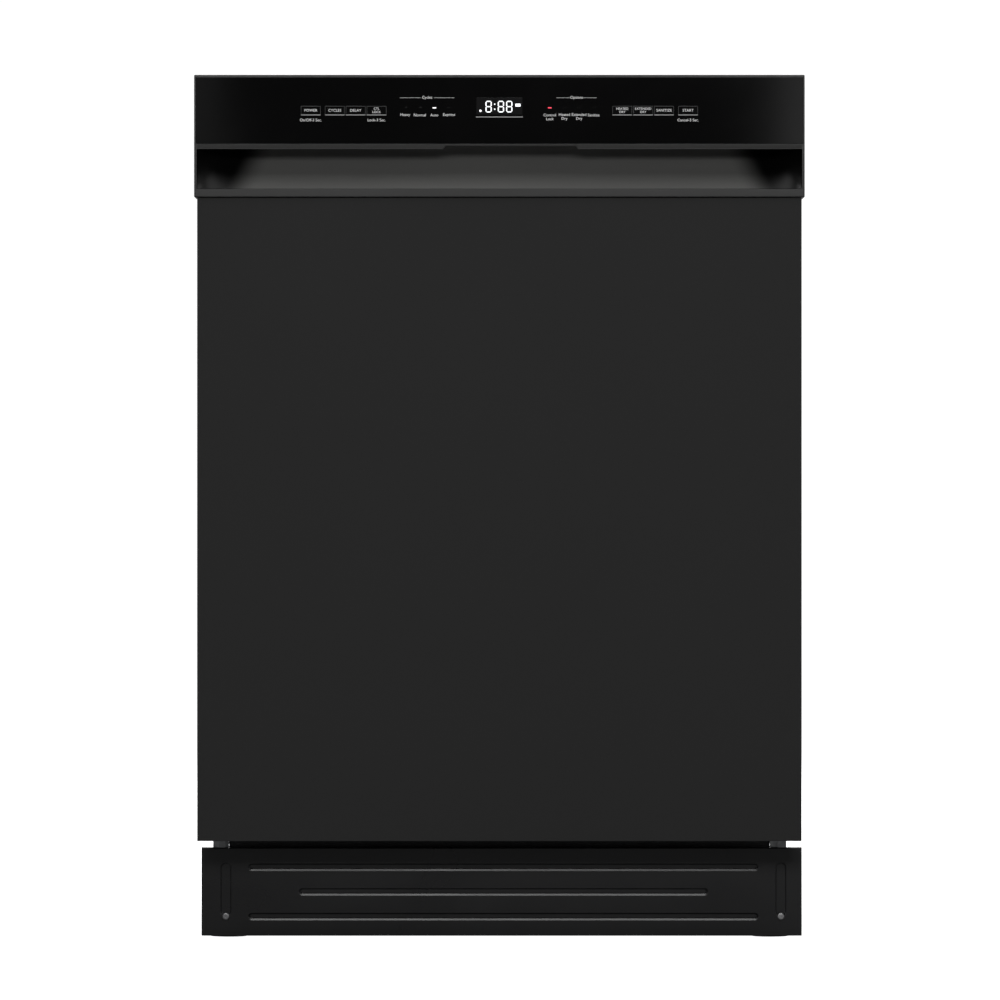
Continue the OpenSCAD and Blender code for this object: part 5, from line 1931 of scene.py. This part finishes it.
@dataclass
class DoorLiner:
    """The stainless inner face of the door, pressed from one sheet."""

    ramp: float = 9.0
    corner: float = 34.0
    rise: float = 14.0
    rib_deep: float = 1.6
    rib_half: float = 7.5
    rib_reach: float = 200.0
    rib_levels: Flat = (205.0, 709.0)
    raised_half: float = 258.0
    raised_levels: Flat = (146.0, 827.0)
    grid: float = 2.4

    def build(self, shop: Paintshop) -> None:
        """Form the liner and fold its edges.

        Args:
            shop: The paintshop that finishes the pieces.
        """
        low, high = span("door_liner")
        rim = high.y - self.rise
        half_x = self.raised_half
        z0, z1 = self.raised_levels
        turn = self.corner + 2
        dense_x = [(-half_x - 1, -half_x + turn), (half_x - turn, half_x + 1), (-116, -104), (104, 116)]
        dense_z = [(z0 - 1, z0 + turn), (z1 - turn, z1 + 1)]
        dense_z += [(mid - 9, mid + 9) for mid in self.rib_levels]
        xs = grid_lines(low.x, high.x, dense_x, self.grid, [-200 + 100 * k for k in range(5)])
        zs = grid_lines(low.z, high.z, dense_z, self.grid, [250, 330, 395, 400, 540, 545, 600, 660])

        def shape(x: float, z: float) -> Corner:
            """Give the pressed face at one crossing.

            Args:
                x: Place across the machine.
                z: Height.

            Returns:
                The point on the sheet.
            """
            dx, dz = half_x - abs(x), min(z - z0, z1 - z)
            inside = min(dx, dz)
            if dx < self.corner and dz < self.corner:
                inside = self.corner - math.hypot(self.corner - dx, self.corner - dz)
            t = min(1.0, max(0.0, inside / self.ramp))
            height = self.rise * t * t * (3 - 2 * t)
            for mid in self.rib_levels:
                rib = max(0.0, 1 - ((z - mid) / self.rib_half) ** 2)
                rib *= min(1.0, max(0.0, (self.rib_reach - abs(x)) / 20))
                height -= self.rib_deep * rib
            return x, rim + height, z

        sheet = formed("liner_sheet", xs, zs, shape)
        thicken(sheet, 1.0, offset=-1.0 if sheet.data.polygons[0].normal.y > 0 else 1.0)
        carve(sheet, block("dispenser_hole", (-106, rim - 5, 400), (106, high.y + 5, 540)),
              block("latch_hole", (-24, rim - 5, 830), (24, rim + 5, high.z + 1)))
        folds = [block("fold", (low.x, low.y, low.z), (low.x + 1, rim - 0.5, 735.5)),
                 block("fold", (high.x - 1, low.y, low.z), (high.x, rim - 0.5, 735.5)),
                 block("fold", (low.x, low.y, low.z), (high.x, rim - 0.5, low.z + 1))]
        for piece in (sheet, folds[2]):
            for side in (-1, 1):
                near, far = sorted((side * 275.4, side * 291.2))
                carve(piece, block("hinge_slot", (near, low.y - 2, low.z - 2), (far, rim + 3, 138.2)))
        liner = join("door_liner_pressing", sheet, *folds)
        shop.fit(smooth(liner, 40), "door", STAINLESS, "door_liner")


@dataclass
class Dispenser:
    """The detergent dispenser in the liner: body, sliding lid and rinse-aid cap."""

    edge: float = 1.6

    def build(self, shop: Paintshop) -> None:
        """Model the body, the lid and the cap.

        Args:
            shop: The paintshop that finishes the pieces.
        """
        self._body(shop)
        self._lid(shop)
        self._cap(shop)

    def _body(self, shop: Paintshop) -> None:
        """Model the moulded body with its cup, runners and measuring marks.

        Args:
            shop: The paintshop that finishes the pieces.
        """
        low, high = span("dispenser_body")
        face = high.y - 5.5
        body = round_edges(block("case", (-105.7, low.y, 400.3), (105.7, face, 539.7)), self.edge, 3)
        bezel = round_edges(block("bezel", (-111, -241.9, 395), (111, -239, 545)), 1.1, 3)
        cup = round_edges(block("cup", (-76, low.y + 3, 426), (-8, face + 4, 514)), 5.0, 4)
        well = rod("well", (82, face - 9, 440), (82, face + 2, 440), 12.0, 48)
        grip = round_edges(block("grip", (30, face - 3.0, 474), (98, face + 4, 520)), 3.0, 3)
        carve(body, cup, well, grip)
        runners = [round_edges(block("runner", (-86, face - 0.5, z), (60, high.y, z + 3.5)), 0.7, 2)
                   for z in (417.0, 519.5)]
        marks = [block("mark", (-70 + 9 * k, face - 0.2, 420.8),
                       (-69 + 9 * k, face + 0.25, 424.5)) for k in range(7)]
        shop.fit(smooth(join("dispenser_case", body, bezel, *runners, *marks), 35), "door", DARK_PLASTIC,
                 "dispenser_body")

    def _lid(self, shop: Paintshop) -> None:
        """Model the sliding lid with its grip rib and grooves.

        Args:
            shop: The paintshop that finishes the pieces.
        """
        low, high = span("dispenser_lid")
        face = high.y - 3.0
        lid = round_edges(block("lid", low, (high.x, face, high.z)), 0.8, 3)
        rib = round_edges(block("rib", (-68, face - 0.4, low.z + 19), (-62, high.y, high.z - 19)), 1.0, 3)
        groove = block("groove", (-50, face - 0.6, low.z + 14), (-48, face + 1, high.z - 14))
        row(groove, (7, 0, 0), 5)
        carve(lid, groove)
        shop.fit(smooth(join("dispenser_lid_slide", lid, rib), 35), "dispenser_lid_body", GREY_PLASTIC,
                 "dispenser_lid")

    def _cap(self, shop: Paintshop) -> None:
        """Model the rinse-aid cap with its fluted edge, finger bar and arrow.

        Args:
            shop: The paintshop that finishes the pieces.
        """
        low, high = span("rinse_cap")
        x, z, front = (low.x + high.x) / 2, (low.z + high.z) / 2, high.y - 4.0
        disc = round_edges(rod("disc", (x, low.y + 6.4, z), (x, front, z), 14.9, 60), 0.9, 3)
        flutes = [rod("flute", (x + 15.6 * math.cos(a), low.y, z + 15.6 * math.sin(a)),
                      (x + 15.6 * math.cos(a), high.y, z + 15.6 * math.sin(a)), 1.5, 16)
                  for a in [k * math.pi / 9 for k in range(18)]]
        carve(disc, *flutes)
        plug = rod("plug", (x, low.y, z), (x, low.y + 7, z), 11.4, 48)
        bar = round_edges(block("bar", (x - 11, front - 0.5, z - 2), (x + 11, high.y, z + 2)), 0.9, 3)
        arrow = prism("arrow", [(x + 7.5, z + 4.2), (x + 11.5, z + 6.4), (x + 7.5, z + 8.6)], Axis.Y,
                      front - 0.1, front + 0.5)
        shop.fit(smooth(join("rinse_aid_cap", disc, plug, bar, arrow), 35), "rinse_cap_body", BLUE_PLASTIC,
                 "rinse_cap")


@dataclass
class DoorSprings:
    """The two counterbalance springs of the door, wound as coils with hooked ends."""

    coil: float = 4.6
    wire_r: float = 1.15
    turns: int = 58

    def build(self, shop: Paintshop) -> None:
        """Wind one spring and mirror it to the other side.

        Args:
            shop: The paintshop that finishes the pieces.
        """
        low, high = span("door_springs")
        x, z = high.x - 6.0, (low.z + high.z) / 2
        start, end = low.y + 40, low.y + 250
        coil = [(x + self.coil * math.cos(a), start + (end - start) * k / (self.turns * 10),
                 z + self.coil * math.sin(a))
                for k, a in [(k, k * math.pi / 5) for k in range(self.turns * 10 + 1)]]
        spring = wire("coil", coil, self.wire_r, roundness=0)
        front = wire("hook", [(x, low.y + 0.3, z), (x, start - 4, z), (x + self.coil, start, z)],
                     self.wire_r, roundness=1)
        rear = wire("hook", [(x + self.coil, end, z), (x, end + 4, z), (x, high.y - 2.2, z)], self.wire_r,
                    roundness=1)
        plate = round_edges(block("plate", (273.6, high.y - 3, z - 8), (x + 5, high.y, z + 8)), 0.8)
        shop.fit(both_sides(join("door_spring_coils", spring, front, rear, plate)), "chassis", DARK_STEEL,
                 "door_springs")


@dataclass
class Gasket:
    """The tub's rubber seal: a round bead with a lip, run round three sides."""

    beads: tuple[Flat, ...] = ((2.1, 1.7), (5.4, 1.35), (8.6, 1.7))

    def build(self, shop: Paintshop) -> None:
        """Model the seal from its CAD loop with a rounded section.

        Args:
            shop: The paintshop that finishes the pieces.
        """
        low, high = span("tub_gasket")
        y = (low.y + high.y) / 2
        parts = []
        for inset, radius in self.beads:
            x, z0, z1 = high.x - inset, low.z + inset * 0.3, high.z - inset * 0.5
            path = bent([(-x, y, z0), (-x, y, z1), (x, y, z1), (x, y, z0)], 16)
            parts.append(wire("bead", path, radius, roundness=2))
        shop.fit(join("tub_seal", *parts), "chassis", RUBBER, "tub_gasket")


@dataclass
class Rollers:
    """The rollers that the upper rack's rails run on."""

    radius: float = 9.0
    inner: float = 253.5

    def build(self, shop: Paintshop) -> None:
        """Model the four rollers, two on each turning body.

        Args:
            shop: The paintshop that finishes the pieces.
        """
        for node in ("rail_rollers_front", "rail_rollers_rear"):
            low, high = span(node)
            y, z = (low.y + high.y) / 2, (low.z + high.z) / 2
            x0, x1 = self.inner, high.x
            wheel = round_edges(rod("wheel", (x0, y, z), (x1, y, z), self.radius, 40), 0.9, 3)
            groove = ring("groove", ((x0 + x1) / 2, y, z), self.radius + 0.6, 1.1, Axis.X, 40)
            carve(wheel, groove, rod("bore", (x0 - 2, y, z), (x1 + 2, y, z), 3.05, 32))
            shop.fit(both_sides(smooth(wheel, 35)), node + "_body", LIGHT_PLASTIC, node)


@dataclass
class BottomSeal:
    """The rubber strip along the door's bottom edge."""

    def build(self, shop: Paintshop) -> None:
        """Model the strip: a flat foot with a rounded lip.

        Args:
            shop: The paintshop that finishes the pieces.
        """
        low, high = span("bottom_seal")
        base = round_edges(block("foot", low, (high.x, low.y + 2, high.z)), 0.5)
        lip = round_edges(block("lip", (low.x, low.y, high.z - 8), high), 1.9, 4)
        shop.fit(join("door_bottom_seal", base, lip), "door", RUBBER, "bottom_seal")


def main() -> None:
    """Build the studio and every sub-assembly in order."""
    logging.basicConfig(level=logging.INFO, format="%(name)s: %(message)s")
    shop = Paintshop()
    dress_frame(shop)
    Studio().build()
    assemblies = (
        DoorSkin(), Fascia(), Keys(), PanelPrint(), Display(), DoorLiner(), Dispenser(), BottomSeal(),
        ToeKick(),
        ShadeSheet(), Foot(), DoorSprings(), Gasket(), Rollers(), LowerRack(), Basket(), UpperRack(),
        SprayArm(), SprayArm("upper_spray_arm", 36.0, 5.0), SprayArm("top_spray_arm", 30.0, 5.0),
    )
    for assembly in assemblies:
        assembly.build(shop)
        LOG.info("built %s", type(assembly).__name__)


if __name__ == "__main__":
    main()
